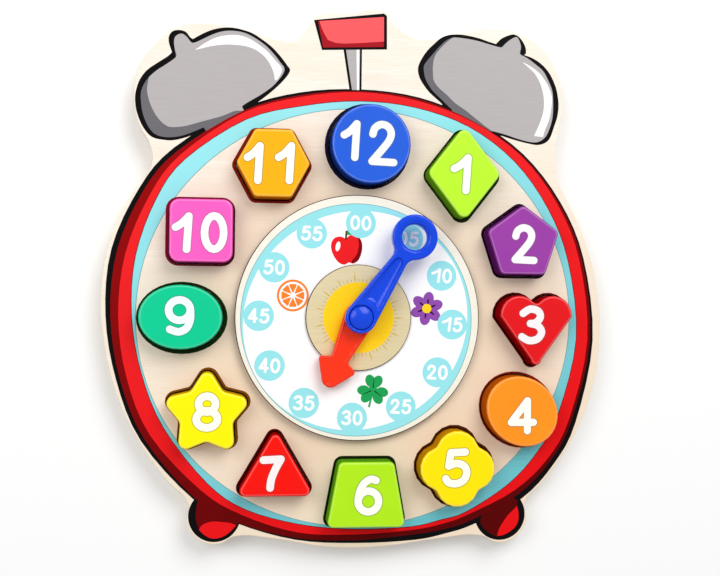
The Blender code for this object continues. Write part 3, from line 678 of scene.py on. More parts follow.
# %% Inks
INK = {
    # Dark red, red and light blue take a third colour: the painted shade at the lower right.
    "black": printing_ink("black_ink", "0B0A0C", "1A181B"),
    "dark_red": printing_ink("dark_red_ink", "960608", "880507", "540305"),
    "red": printing_ink("bright_red_ink", "F0262A", "E41A20", "E61216"),
    "sky": printing_ink("light_blue_ink", "9AE8EE", "8CDCE4", "68BCC6"),
    "light_grey": printing_ink("light_grey_ink", "B3AEAE", "C8C2C1"),
    "dark_grey": printing_ink("dark_grey_ink", "6C6A6E", "78767B"),
    "white": printing_ink("white_ink", "FDFCFB", "F6F2EC"),
    "coral": printing_ink("coral_ink", "FF5A5E", "FF6E70"),
    "navy": printing_ink("navy_ink", "10122C", "1C1E38"),
    "pine": printing_ink("dark_green_ink", "0C2A06", "143410"),
    "maroon": printing_ink("maroon_ink", "560304", "5E080A"),
    "brick": printing_ink("brick_red_ink", "A81A24", "A0141C"),
    "brown": printing_ink("dark_brown_ink", "4A1C04", "56280C"),
    "plum": printing_ink("dark_purple_ink", "2C0A2A", "381436"),
    "umber": printing_ink("umber_ink", "7A4608", "865214"),
    "crimson": printing_ink("crimson_ink", "800C26", "8C1832"),
    "rust": printing_ink("rust_ink", "7E1804", "8A2410"),
    "slate": printing_ink("slate_ink", "6FA0A4", "7AAAAC"),
}

# %% The ring
RING_INKS = ("black", "dark_red", "red", "sky")
# Where each ink begins at its outer side, in millimetres from the hub, for clock bearings in degrees.
RING_RADII = {
    0: (122, 121, 120.5, 115.5),
    15: (123, 122, 121, 117),
    30: (124.5, 123.5, 123, 119.5),
    45: (127, 126, 125.5, 120.5),
    60: (128, 127, 126, 120),
    75: (128.5, 127.5, 126, 119.5),
    95: (130, 128.5, 127, 120.5),
    115: (132.5, 130, 128.5, 121.5),
    126: (133.5, 131, 129, 122),
    137: (132.5, 129.5, 126.5, 121.5),
    150: (127.5, 125, 121.5, 119.5),
    157: (125, 122.5, 119.5, 117),
    165: (122.5, 119.5, 117, 115),
    180: (119.5, 118, 115, 112),
    195: (121.5, 120.5, 117.5, 113),
    210: (125, 124.5, 120, 116.5),
    222: (128, 127, 122, 117),
    240: (130, 128, 124.5, 116.5),
    255: (130, 128, 124.5, 116.5),
    270: (131.5, 129, 125, 118),
    285: (133.5, 130.5, 126, 120.5),
    300: (133, 130.5, 126.5, 122.5),
    312: (131.5, 129, 126.5, 123),
    330: (126.5, 125, 124, 120),
    345: (123.5, 122, 121, 116),
}
# The bare wood inside the ring is a plain ellipse.
RING_INSIDE = {"middle": (0, 0.3), "half_width": 116, "half_height": 111, "count": 120}
RING_EDGE_WIDTH = 0.35


def ring_line(ink_name):
    """A smooth outline, anticlockwise, where one ink of the ring begins."""
    place = RING_INKS.index(ink_name)
    return through([spot(bearing, radii[place]) for bearing, radii in RING_RADII.items()])[::-1]


# %% From the photograph's pixels to the board's face
PHOTO_MIDDLE = (360.0, 288.0)
PHOTO_WIDTH, SENSOR_WIDTH = 720, 36.0


def from_photo(pixels):
    """Points read as pixels, in millimetres on the printed face. The rays start at the camera."""
    turn = Euler([math.radians(degrees) for degrees in CAMERA_TURN_DEGREES]).to_matrix()
    eye = CAMERA_PLACE / MM
    points = []
    for across, down in pixels:
        sideways, upward = across - PHOTO_MIDDLE[0], PHOTO_MIDDLE[1] - down
        ray = turn @ Vector((sideways, upward, -CAMERA_LENS / SENSOR_WIDTH * PHOTO_WIDTH))
        place = eye + ray * ((FRONT_TOP - eye.z) / ray.z)
        points.append((place.x, place.y))
    return points


# %% The left bell
LEFT_BELL_RIM_PIXELS = (
    (290, 71), (283, 81), (270, 93), (255, 104), (240, 112), (200, 131), (190, 136), (175, 140),
    (165, 140), (152, 137), (143, 127), (137, 113), (135, 100), (136, 90), (140, 79), (147, 70),
    (157, 63), (168, 56), (172, 52), (169, 43), (169, 36), (173, 31), (180, 30), (186, 32),
    (190, 37), (193, 39), (200, 35), (210, 30.5), (220, 28), (230, 27.5), (240, 29), (252, 33),
    (263, 40), (273, 48), (281, 57), (287, 65),
)
LEFT_BELL_RIM = through(from_photo(LEFT_BELL_RIM_PIXELS), (18, 25))
LEFT_BELL_SHADE_PIXELS = (
    (284.5, 70.5), (275, 84), (262, 94), (250, 101), (190, 133), (178, 136.5), (165, 137),
    (155, 134), (148, 126), (143, 114), (141, 102), (141, 92), (144, 84), (149, 77), (157, 70),
    (165, 65), (176, 57), (175, 50), (174, 43), (175, 37), (179, 34), (183, 34), (187, 37),
    (191, 42), (195, 42.5), (205, 38), (215, 33.5), (225, 31), (235, 31), (245, 33), (255, 38),
    (265, 45), (273, 53), (280, 62),
)
LEFT_BELL_SHADE = (
    *from_photo(LEFT_BELL_SHADE_PIXELS[:4]), (-62.3, 111), (-61.0, 107.4), (-80.6, 96.8),
    (-82.3, 99.2), *from_photo(LEFT_BELL_SHADE_PIXELS[4:]),
)
LEFT_BELL_LIGHT_PIXELS = (
    (215, 118), (200, 122), (185, 126), (171, 127), (164, 124), (158, 118), (153, 110), (149, 100),
    (147, 90), (148, 82),
)
LEFT_BELL_LIGHT = through((
    *LEFT_BELL_SHADE[17:], *LEFT_BELL_SHADE[:5], (-61.6, 108.8), (-66.2, 108.3), (-71.5, 106),
    *from_photo(LEFT_BELL_LIGHT_PIXELS),
), (0,))
LEFT_BELL_GLINT_PIXELS = (
    (195, 50), (205, 43), (215, 38), (225, 35.5), (237, 35), (248, 38), (258, 44), (267, 51),
    (275, 60), (282, 69), (278, 78.5), (275, 80), (274, 74), (271, 66), (265, 57), (256, 50),
    (247, 46.5), (237, 45), (225, 44.5), (212, 46), (203, 48),
)
LEFT_BELL_GLINT = through(from_photo(LEFT_BELL_GLINT_PIXELS), (0,))

# %% The right bell
RIGHT_BELL_RIM_PIXELS = (
    (449, 110), (440, 102), (430, 93), (423, 84), (419, 76), (418, 68), (421, 60), (427, 51),
    (434, 44), (441, 38), (449, 35), (458, 34.5), (467, 35.5), (478, 38), (488, 41.5), (496, 44),
    (501, 39), (507, 36), (514, 34.5), (520, 38), (525, 46), (526, 53), (524, 55), (532, 58),
    (540, 63), (547, 70), (552, 78), (556, 88), (558, 98), (558.5, 108), (557, 118), (554, 127),
    (550, 138), (545, 143), (538, 145), (530, 144), (518, 141), (505, 137), (492, 132),
)
RIGHT_BELL_RIM = through(from_photo(RIGHT_BELL_RIM_PIXELS), (15, 22))
RIGHT_BELL_SHADE_PIXELS = (
    (449, 107), (440, 98), (432, 90), (426, 80), (424, 72), (424, 66), (427, 61), (433, 54),
    (440, 46), (447, 40), (455, 37.5), (465, 38.5), (478, 41), (488, 44), (501, 47.5), (505, 44),
    (510, 40), (516, 37), (519, 40), (521, 47), (520, 54), (527, 58), (535, 64), (543, 71),
    (548, 80), (552, 90), (553, 100), (553, 110), (552, 120), (549, 130), (545, 137.5), (538, 142),
    (530, 142), (518, 139), (505, 134.5), (492, 131),
)
RIGHT_BELL_SHADE = (
    *from_photo(RIGHT_BELL_SHADE_PIXELS), (70.4, 100.4), (50.6, 110.8), (50.2, 112.9),
)
RIGHT_BELL_LIGHT_PIXELS = (
    (452, 38), (447, 42), (440, 49), (435, 56), (433, 65), (433, 74), (434, 81), (439, 88),
    (447, 95), (455, 103), (465, 110), (475, 118), (485, 126),
)
RIGHT_BELL_LIGHT = through((
    *reversed(RIGHT_BELL_SHADE[10:36]), *from_photo(RIGHT_BELL_LIGHT_PIXELS),
), (0, 26))
RIGHT_BELL_GLINT_PIXELS = (
    (522, 62), (530, 66), (538, 72), (544, 79), (549, 88), (552, 98), (551, 110), (549, 120),
    (545, 130), (543, 137), (534, 136), (539, 125), (543, 113), (544, 103), (543, 93), (540, 83),
    (535, 74), (528, 67),
)
RIGHT_BELL_GLINT = through(from_photo(RIGHT_BELL_GLINT_PIXELS), (0, 9, 10))

# %% The handle and the feet
HANDLE_RIM_PIXELS = (
    (314, 20), (384, 13.5), (387, 16), (387, 49.5), (322, 50),
)
HANDLE_RIM = from_photo(HANDLE_RIM_PIXELS)
HANDLE_SHADE_PIXELS = (
    (318, 21), (384, 17), (384, 47), (323, 47.5),
)
HANDLE_SHADE = from_photo(HANDLE_SHADE_PIXELS)
HANDLE_LIGHT_PIXELS = (
    (319.5, 21), (384, 17), (384, 41.5), (360, 43), (345, 43.5), (336, 43), (328, 40), (324, 33),
    (321, 26),
)
HANDLE_LIGHT = from_photo(HANDLE_LIGHT_PIXELS)
STEM_RIM_PIXELS = (
    (343.5, 49.5), (349.5, 90), (361.5, 90), (362, 49.5),
)
STEM_RIM = from_photo(STEM_RIM_PIXELS)
STEM_FACE_PIXELS = (
    (346, 49.5), (352, 90), (359.5, 90), (360, 49.5),
)
STEM_FACE = from_photo(STEM_FACE_PIXELS)
STEM_GLINT = ((-1.8, 143.2), (-1.4, 121.6), (-0.3, 121.6), (-0.3, 143.3))
LEFT_FOOT_RIM = oval((-74.2, -104.3), 13.6, 13.6)
LEFT_FOOT_SHADE_PIXELS = (
    (198, 500), (196, 510), (196, 520), (199, 529), (204, 535), (210, 538), (217, 538.5),
    (224, 536), (230, 532), (236, 526), (239, 521),
)
LEFT_FOOT_SHADE = through((
    *from_photo(LEFT_FOOT_SHADE_PIXELS), (-70, -90),
), (0, 10, 11))
LEFT_FOOT_LIGHT_PIXELS = (
    (199, 530), (201, 526), (206, 523), (213, 521.5), (222, 522), (230, 523), (236, 525),
    (232, 530), (226, 535), (219, 538), (212, 538.5), (205, 535.5),
)
LEFT_FOOT_LIGHT = through(from_photo(LEFT_FOOT_LIGHT_PIXELS), (0, 6))
RIGHT_FOOT_RIM = oval((78.2, -105.2), 13.8, 13.8)
RIGHT_FOOT_SHADE_PIXELS = (
    (517, 500), (518, 510), (518.5, 517), (517, 524), (512, 530), (506, 534), (500, 536),
    (493, 535), (487, 531), (482, 526), (480, 521),
)
RIGHT_FOOT_SHADE = through((
    *from_photo(RIGHT_FOOT_SHADE_PIXELS), (74, -90),
), (0, 10, 11))
RIGHT_FOOT_LIGHT_PIXELS = (
    (497, 536), (499, 529), (503, 522), (508, 515), (514, 509), (517, 506), (518.5, 513),
    (518, 521), (515, 527), (509, 532), (503, 535),
)
RIGHT_FOOT_LIGHT = through(from_photo(RIGHT_FOOT_LIGHT_PIXELS), (0, 5))

# %% Outlines printed round the holes
PRINT_LAP = 0.03
HOLE_PRINTS = {
    "block_12_circle": ("navy", (-0.7, 0), 1.3),
    "block_01_rhombus": ("pine", (0.9, -0.1), 1.2),
    "block_02_pentagon": ("plum", (0.7, 0.3), 1.3),
    "block_03_heart": ("maroon", (0.3, 0), 1.1),
    "block_04_oval": ("rust", (0.4, 0), 1.1),
    "block_05_quatrefoil": ("brown", (0.3, 0.2), 1.1),
    "block_06_trapezoid": ("pine", (0.3, 0), 1.0),
    "block_07_triangle": ("maroon", (0, 0), 1.0),
    "block_08_star": ("umber", (0.4, 0.3), 1.0),
    "block_09_ellipse": ("pine", (0.3, -0.5), 1.5),
    "block_10_square": ("crimson", (-0.7, 0.2), 1.1),
    "block_11_hexagon": ("rust", (-0.3, 0), 1.4),
}

# %% Print the board
board_layers = [
    ("black", ring_line("black")),
    ("black", LEFT_BELL_RIM),
    ("dark_grey", through(LEFT_BELL_SHADE, (4, 5, 6, 7, 20))),
    ("light_grey", LEFT_BELL_LIGHT),
    ("white", LEFT_BELL_GLINT),
    ("black", RIGHT_BELL_RIM),
    ("dark_grey", through(RIGHT_BELL_SHADE, (0, 14, 20, 35, 36, 37, 38))),
    ("light_grey", RIGHT_BELL_LIGHT),
    ("white", RIGHT_BELL_GLINT),
    ("black", STEM_RIM),
    ("light_grey", STEM_FACE),
    ("white", STEM_GLINT),
    ("black", HANDLE_RIM),
    ("brick", HANDLE_SHADE),
    ("coral", HANDLE_LIGHT),
    ("black", LEFT_FOOT_RIM),
    ("dark_red", LEFT_FOOT_SHADE),
    ("red", LEFT_FOOT_LIGHT),
    ("black", RIGHT_FOOT_RIM),
    # The right foot prints its dark part in maroon, darker than the left foot's dark red, as painted shade at
    # the lower right.
    ("maroon", RIGHT_FOOT_SHADE),
    ("red", RIGHT_FOOT_LIGHT),
]
board_layers.append(("dark_red", ring_line("dark_red")))
board_layers.append(("red", ring_line("red")))
board_layers.append(("maroon", grown(ring_line("sky"), RING_EDGE_WIDTH)))
board_layers.append(("sky", ring_line("sky")))
board_layers.append(("slate", grown(oval(**RING_INSIDE), RING_EDGE_WIDTH)))
board_layers.append((None, oval(**RING_INSIDE)))
for name, (ink_name, shift, width) in HOLE_PRINTS.items():
    board_layers.append((ink_name, placed(grown(recess_outlines[name], width), shift)))
for outline in recess_outlines.values():
    board_layers.append((None, grown(outline, RECESS_EASE - PRINT_LAP)))
inked = [(INK.get(ink_name), outline) for ink_name, outline in board_layers]
board_print = printed("board_print", inked, FRONT_TOP, "board")
print("Board print:", len(board_print), "inks,", triangles(*board_print), "triangles")

# %% [markdown]
# ## The twelve blocks
#
# Each block is sawn from hardwood a little smaller than its hole, and much thicker than the board,
# so that small fingers can grip it. Its edges are routed to a round and it is sprayed in one colour.
# The number is printed last, in white. Each digit is drawn as the path of a round brush, because
# the real figures have that friendly, even stroke.

# %% Digits as brush paths, in a unit box
DIGIT_PATHS = {
    "0": (("oval", (0.31, 0.5), 0.31, 0.5),),
    "1": (("line", (0.42, 1), (0.36, 0)), ("bend", (0, 0.66), (0.2, 0.78), (0.42, 1))),
    "2": (
        ("bend", (0.04, 0.74), (0.10, 0.90), (0.28, 1), (0.48, 0.95), (0.58, 0.78), (0.52, 0.58),
         (0.32, 0.34), (0.02, 0.02)),
        ("line", (0.02, 0.02), (0.66, 0)),
    ),
    "3": (
        ("bend", (0.05, 0.86), (0.25, 1), (0.47, 0.93), (0.52, 0.74), (0.40, 0.57), (0.25, 0.54)),
        ("bend", (0.25, 0.54), (0.45, 0.48), (0.56, 0.28), (0.45, 0.06), (0.22, 0), (0.02, 0.12)),
    ),
    "4": (("line", (0.48, 1), (0, 0.28), (0.66, 0.28)), ("line", (0.48, 1), (0.48, 0))),
    "5": (
        ("line", (0.55, 1), (0.14, 0.98), (0.08, 0.56)),
        ("bend", (0.08, 0.56), (0.28, 0.64), (0.50, 0.58), (0.60, 0.38), (0.52, 0.12), (0.30, 0),
         (0.08, 0.04), (0, 0.16)),
    ),
    "6": (
        ("bend", (0.52, 0.96), (0.36, 1), (0.16, 0.86), (0.04, 0.6), (0, 0.34)),
        ("oval", (0.3, 0.32), 0.3, 0.32),
    ),
    "7": (("line", (0, 0.97), (0.6, 1)), ("bend", (0.6, 1), (0.42, 0.66), (0.28, 0.3), (0.24, 0))),
    "8": (("oval", (0.3, 0.74), 0.24, 0.25), ("oval", (0.3, 0.26), 0.3, 0.27)),
    "9": (
        ("oval", (0.3, 0.68), 0.3, 0.32),
        ("bend", (0.6, 0.68), (0.6, 0.4), (0.5, 0.12), (0.28, 0), (0.04, 0.08)),
    ),
}


def digit_lines(digit, size, middle, bearing=0.0):
    """The brush paths of a digit, fitted to a box round its middle."""
    lines = []
    for kind, *rest in DIGIT_PATHS[digit]:
        if kind == "oval":
            ring = oval(rest[0], rest[1], rest[2], count=20)
            lines.append([*ring, ring[0]])
        elif kind == "bend":
            lines.append(through(rest, closed=False, steps=3))
        else:
            lines.append([Vector(point) for point in rest])
    low = Vector([min(point[axis] for line in lines for point in line) for axis in (0, 1)])
    high = Vector([max(point[axis] for line in lines for point in line) for axis in (0, 1)])
    fitted = []
    for line in lines:
        shares = [point - (low + high) / 2 for point in line]
        points = [
            (share.x / (high.x - low.x) * size[0], share.y / (high.y - low.y) * size[1])
            for share in shares]
        fitted.append(placed(points, middle, bearing))
    return fitted


def capsule(first, last, radius, step_degrees):
    """The mark of a round brush that moves from one point to another."""
    heading = math.degrees(math.atan2(last.y - first.y, last.x - first.x))
    steps = round(180 / step_degrees)
    points = []
    for centre, start in ((last, -90), (first, 90)):
        for step in range(steps + 1):
            angle = math.radians(heading + start + 180 * step / steps)
            points.append(centre + radius * Vector((math.cos(angle), math.sin(angle))))
    return points


def brushed(digit, middle, outer_size, stroke, bearing=0.0, step_degrees=15.0):
    """The marks that paint one digit of a given overall size."""
    size = (outer_size[0] - stroke, outer_size[1] - stroke)
    marks = []
    for line in digit_lines(digit, size, middle, bearing):
        marks += [capsule(first, last, stroke / 2, step_degrees) for first, last in zip(line, line[1:])]
    return marks


# %% Block colours and numbers
STROKE = 4.2
# Each block: paint name, colour, a darker tone for the ripple, and the side colour, which is painted shade on
# the sides.
BLOCK_PAINTS = {
    "block_12_circle": ("blue_paint", "2560DC", "1E50C4", "16307C"),
    "block_01_rhombus": ("lime_paint", "BDF531", "AEE826", "5E9A18"),
    "block_02_pentagon": ("purple_paint", "9B3FA5", "8A3494", "571A5E"),
    "block_03_heart": ("red_paint", "E5141B", "CF0F16", "8A060A"),
    "block_04_oval": ("orange_paint", "FF9520", "F48612", "B8540A"),
    "block_05_quatrefoil": ("yellow_paint", "FFE600", "F6D800", "C8880A"),
    "block_06_trapezoid": ("leaf_paint", "B4EC1D", "A2DC12", "58A01A"),
    "block_07_triangle": ("scarlet_paint", "FA1005", "E60C04", "8E0804"),
    "block_08_star": ("lemon_paint", "FFF400", "F8E800", "CC9A0C"),
    "block_09_ellipse": ("teal_paint", "06CE95", "04BC86", "047A54"),
    "block_10_square": ("pink_paint", "FF62C4", "F450B4", "A82468"),
    "block_11_hexagon": ("amber_paint", "FFB50F", "F8A606", "C0640A"),
}
BLOCK_DIGITS = {
    "block_12_circle": (("1", (-5.9, 92.6), (10.8, 21.8)), ("2", (11.3, 91.5), (15.7, 24.1))),
    "block_01_rhombus": (("1", (53.1, 76.4), (11.7, 21.5)),),
    "block_02_pentagon": (("2", (87.8, 39.9), (14.5, 21.5)),),
    "block_03_heart": (("3", (92.0, -3.0), (15.0, 21.0)),),
    "block_04_oval": (("4", (87.2, -51.2), (16.2, 20.0)),),
    "block_05_quatrefoil": (("5", (51.8, -78.5), (15.4, 20.8)),),
    "block_06_trapezoid": (("6", (5.3, -92.5), (15.0, 21.1)),),
    "block_07_triangle": (("7", (-44.9, -80.7), (13.2, 18.9)),),
    "block_08_star": (("8", (-78.5, -49.0), (15.0, 20.4)),),
    "block_09_ellipse": (("9", (-93.0, 0.1), (15.4, 20.6)),),
    "block_10_square": (("1", (-92.3, 42.8), (10.9, 21.2)), ("0", (-76.0, 43.1), (14.0, 21.4))),
    "block_11_hexagon": (("1", (-56.2, 79.5), (10.6, 22.1)), ("1", (-40.0, 79.9), (10.8, 22.2))),
}

# %% Blocks
BLOCK_BOTTOM, BLOCK_TOP = 4.0, 25.0
BLOCK_ROUND = 1.4
RIM_WIDTH, NUMBER_INSET = 0.5, 0.15

block_things = []
RIM_GREY, RIM_GREY_SHARES = "707070", (0.45, 0.35)
for name in BLOCKS:
    slot_name, colour, shade_colour, shaded_side_colour = BLOCK_PAINTS[name]
    paint = sprayed_paint(slot_name, colour, shade_colour, shaded_side_colour)
    chain = slab(block_outlines[name], BLOCK_BOTTOM, BLOCK_TOP, BLOCK_ROUND)
    block = moulding(f"{name}_painted", [chain], [[chain[0]], [chain[-1]]], paint)
    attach(block, name)
    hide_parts(name)
    rim_colours = [blended(colour, RIM_GREY, share) for share in RIM_GREY_SHARES]
    rim_ink = printing_ink(f"{slot_name}_rim_ink", *rim_colours)
    number_ink = printing_ink(f"{slot_name}_number_ink", blended("FFFFFF", colour, 0.08), "FFFFFF")
    marks = []
    for ink, extra in ((rim_ink, RIM_WIDTH - NUMBER_INSET), (number_ink, -NUMBER_INSET)):
        for digit, middle, size in BLOCK_DIGITS[name]:
            grown_size = (size[0] + 2 * extra, size[1] + 2 * extra)
            marks += [(ink, mark) for mark in brushed(digit, middle, grown_size, STROKE + 2 * extra)]
    block_things += [block, *printed(f"{name}_number", marks, BLOCK_TOP, name)]
print("Blocks and numbers:", len(block_things), "pieces,", triangles(*block_things), "triangles")

# %% [markdown]
# ## The dial and the sun disc
#
# The dial is a round of pale plywood, glued on the board, and the sun disc is a thinner round glued
# on that. Both have a hole for the post. The dial is printed in light blue and white, and round it
# run the twelve minute marks. A rule places them, so they are made as one small prism that is
# repeated on a ring. The same rule, with slim four-sided prisms, makes the sun's rays: sixty short
# ones and fifteen long ones.

# %% Dial plate and sun disc
DIAL_RADIUS, DIAL_TOP, DIAL_EASE = 65.0, 17.5, 0.5
SUN_RADIUS, SUN_TOP, SUN_EASE = 28.0, 19.0, 0.4
DISC_POINTS = 120


def make_disc(name, node, radius, bottom, top, ease, material):
    chain = slab(oval((0, 0), radius, radius, count=DISC_POINTS), bottom, top, ease, 0.05)
    hole = [at_level(bore, bottom), at_level(bore, top)]
    lids = [[chain[0], hole[0]], [chain[-1], hole[-1]]]
    disc = moulding(name, [chain, hole], lids, material)
    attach(disc, "board")
    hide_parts(node)
    return disc


dial_disc = make_disc(
    "dial_disc", "dial_plate", DIAL_RADIUS, FRONT_TOP, DIAL_TOP, DIAL_EASE, DIAL_BIRCH)
sun_round = make_disc(
    "sun_round", "sun_disc", SUN_RADIUS, DIAL_TOP, SUN_TOP, SUN_EASE, SUN_BIRCH)
print("Discs:", triangles(dial_disc, sun_round), "triangles")

# %% Dial print
PRINT_TURN = 2.1
PRINT_MIDDLE = (-1.0, -1.4)
INK["aqua"] = printing_ink("aqua_ink", "96E2E8", "A4E8EC")
INK["dial_white"] = printing_ink("dial_white_ink", "FDFCFC", "F8F7F6")
INK["sun"] = printing_ink("sun_yellow_ink", "FFD21C", "FFDA3A")
INK["ray"] = printing_ink("ray_yellow_ink", "CDB03A", "D6BC50")
INK["leaf"] = printing_ink("leaf_green_ink", "1E9E52", "2CA85E")
INK["orange"] = printing_ink("orange_ink", "F5822A", "F79040")
INK["violet"] = printing_ink("violet_ink", "8E4BA8", "985AB0")

# The light blue round lies a little off the post, and a slightly flattened white round on it.
BLUE_MIDDLE, BLUE_RADIUS, BLUE_EDGE_RADIUS = (-0.55, -1.1), 61.2, 61.5
WHITE_HALF_WIDTH, WHITE_HALF_HEIGHT, WHITE_BEARING = 60.5, 57.0, -30.0
dial_layers = [
    (INK["slate"], oval(BLUE_MIDDLE, BLUE_EDGE_RADIUS, BLUE_EDGE_RADIUS, count=144)),
    (INK["aqua"], oval(BLUE_MIDDLE, BLUE_RADIUS, BLUE_RADIUS, count=144)),
    (INK["dial_white"], oval(
        PRINT_MIDDLE, WHITE_HALF_WIDTH, WHITE_HALF_HEIGHT, bearing=WHITE_BEARING, count=144)),
]
dial_print = printed("dial_print", dial_layers, DIAL_TOP, "board")

# %% A prism repeated on a ring
RING_INPUTS = (
    ("Count", "NodeSocketInt", 12),
    ("Ring Radius", "NodeSocketFloat", 0.05),
    ("Sides", "NodeSocketInt", 48),
    ("Prism Size", "NodeSocketVector", (0.008, 0.008, 0.00004)),
    ("Odd Share", "NodeSocketFloat", 1.0),
    ("Turn", "NodeSocketVector", (0.0, 0.0, 0.0)),
    ("Middle", "NodeSocketVector", (0.0, 0.0, 0.0)),
    ("Finish", "NodeSocketMaterial", None),
)


def ring_of_prisms():
    """Prisms on a ring, each turned outward. Every second one is scaled by the odd share."""
    tree = bpy.data.node_groups.new("prisms_on_a_ring", "GeometryNodeTree")
    for name, kind, value in RING_INPUTS:
        socket = tree.interface.new_socket(name, in_out="INPUT", socket_type=kind)
        if value is not None:
            socket.default_value = value
    tree.interface.new_socket("Geometry", in_out="OUTPUT", socket_type="NodeSocketGeometry")
    given = add(tree, "NodeGroupInput").outputs
    ring = add(tree, "GeometryNodeMeshCircle", {"Vertices": given["Count"], "Radius": given["Ring Radius"]})
    prism = add(tree, "GeometryNodeMeshCylinder", {"Vertices": given["Sides"], "Radius": 1.0, "Depth": 1.0})
    sized = add(tree, "GeometryNodeTransform", {
        "Geometry": prism.outputs["Mesh"], "Scale": given["Prism Size"]})
    number = add(tree, "GeometryNodeInputIndex").outputs["Index"]
    odd = add(tree, "ShaderNodeMath", {0: number, 1: 2.0}, operation="MODULO").outputs[0]
    share = add(tree, "ShaderNodeMix", {"Factor": odd, "A": 1.0, "B": given["Odd Share"]}).outputs["Result"]
    scale = add(tree, "ShaderNodeCombineXYZ", {"X": share, "Y": share, "Z": 1.0}).outputs[0]
    step = add(tree, "ShaderNodeMath", {0: 2 * math.pi, 1: given["Count"]}, operation="DIVIDE").outputs[0]
    angle = add(tree, "ShaderNodeMath", {0: number, 1: step}, operation="MULTIPLY").outputs[0]
    outward = add(tree, "ShaderNodeCombineXYZ", {"Z": angle}).outputs[0]
    repeated = add(tree, "GeometryNodeInstanceOnPoints", {
        "Points": ring.outputs["Mesh"], "Instance": sized.outputs["Geometry"],
        "Rotation": add(tree, "FunctionNodeEulerToRotation", {"Euler": outward}).outputs[0], "Scale": scale})
    real = add(tree, "GeometryNodeRealizeInstances", {"Geometry": repeated.outputs["Instances"]})
    turned = add(tree, "GeometryNodeTransform", {
        "Geometry": real.outputs["Geometry"], "Rotation": given["Turn"], "Translation": given["Middle"]})
    finished = add(tree, "GeometryNodeSetMaterial", {
        "Geometry": turned.outputs["Geometry"], "Material": given["Finish"]})
    add(tree, "NodeGroupOutput", {"Geometry": finished.outputs["Geometry"]})
    return tree


RING_TREE = ring_of_prisms()


def repeated_on_ring(name, body, slot_name, **values):
    """Bakes the ring of prisms with these inputs to a plain mesh fixed to a body."""
    maker = bpy.data.objects.new(f"{name}_maker", bpy.data.meshes.new(f"{name}_maker"))
    bpy.context.scene.collection.objects.link(maker)
    modifier = maker.modifiers.new("ring", "NODES")
    modifier.node_group = RING_TREE
    for socket in RING_TREE.interface.items_tree:
        key = socket.name.replace(" ", "_").lower()
        if socket.in_out == "INPUT" and key in values:
            modifier[socket.identifier] = values[key]
    made = maker.evaluated_get(bpy.context.evaluated_depsgraph_get())
    mesh = bpy.data.meshes.new_from_object(made)
    mesh.name = name
    bpy.data.objects.remove(maker)
    thing = bpy.data.objects.new(name, mesh)
    bpy.context.scene.collection.objects.link(thing)
    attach(thing, body)
    return thing


# %% Minute marks
MARK_RING, MARK_RADIUS, MARK_THICKNESS = 51.5, 8.0, 0.04
mark_middle = Vector((*PRINT_MIDDLE, DIAL_TOP + SKIN_ABOVE + MARK_THICKNESS / 4)) * MM
mark_size = Vector((MARK_RADIUS, MARK_RADIUS, MARK_THICKNESS)) * MM
minute_marks = repeated_on_ring(
    "minute_marks", "board", "white_dial",
    count=12, ring_radius=MARK_RING * MM, sides=48, prism_size=mark_size,
    turn=(0.0, 0.0, math.radians(-PRINT_TURN)), middle=mark_middle, finish=INK["aqua"])
print("Minute marks:", triangles(minute_marks), "triangles")

# %% Minute figures
FIGURE_SIZE, FIGURE_STROKE, FIGURE_STEP = (5.3, 8.0), 1.45, 6.0
FIGURES_RAISED, DRAWINGS_RAISED, SUN_RAISED, LONG_RAYS_RAISED = 0.05, 0.02, 0.02, 0.01

figure_layers = []
for hour in range(12):
    bearing = PRINT_TURN + 30 * hour
    middle = spot(bearing, MARK_RING, PRINT_MIDDLE)
    for place, digit in ((-0.5, f"{5 * hour:02d}"[0]), (0.5, f"{5 * hour:02d}"[1])):
        digit_middle = placed([(place * FIGURE_STEP, 0)], middle, PRINT_TURN)[0]
        for mark in brushed(digit, digit_middle, FIGURE_SIZE, FIGURE_STROKE, PRINT_TURN, 30.0):
            figure_layers.append((INK["dial_white"], mark))
minute_figures = printed("minute_figures", figure_layers, DIAL_TOP, "board", raised=FIGURES_RAISED)
print("Minute figures:", triangles(*minute_figures), "triangles")

# %% Four small drawings: an apple, an orange slice, a flower and a clover leaf
APPLE = through((
    (0, 5.6), (2.6, 7.2), (6.2, 6.6), (8.2, 3.2), (7.8, -1.6), (5.4, -6.2), (2.4, -7.8), (0, -7.0),
    (-2.4, -7.8), (-5.4, -6.2), (-7.8, -1.6), (-8.2, 3.2), (-6.2, 6.6), (-2.6, 7.2),
), (0,))
APPLE_SHADE = through((
    (2.4, -7.8), (5.4, -6.2), (7.8, -1.6), (8.2, 3.2), (6.2, 6.6), (6.6, 1.8), (4.8, -3.2), (1.6, -6.4),
), (0, 4))
APPLE_STEM = ((-0.5, 5.2), (0.5, 5.2), (1.5, 9.6), (0.5, 10.0))
LEAF = through(((0, 0), (2.2, 2.4), (5.8, 2.6), (8.4, 0.4), (5.6, -1.6), (2.4, -1.4)), (0, 3))
GLINT = oval((0, 0), 1.2, 2.6, bearing=20.0, count=24)
PETAL = oval((0, 5.0), 2.9, 4.0, count=30)
PETAL_VEIN = oval((0, 3.4), 0.5, 1.8, count=16)


def apple(middle, bearing):
    return [
        (INK["red"], placed(APPLE, middle, bearing)),
        (INK["dark_red"], placed(APPLE_SHADE, middle, bearing)),
        (INK["brown"], placed(APPLE_STEM, middle, bearing)),
        (INK["leaf"], placed(placed(LEAF, (0.8, 7.6), -25.0), middle, bearing)),
        (INK["dial_white"], placed(placed(GLINT, (-4.6, 2.2)), middle, bearing)),
    ]


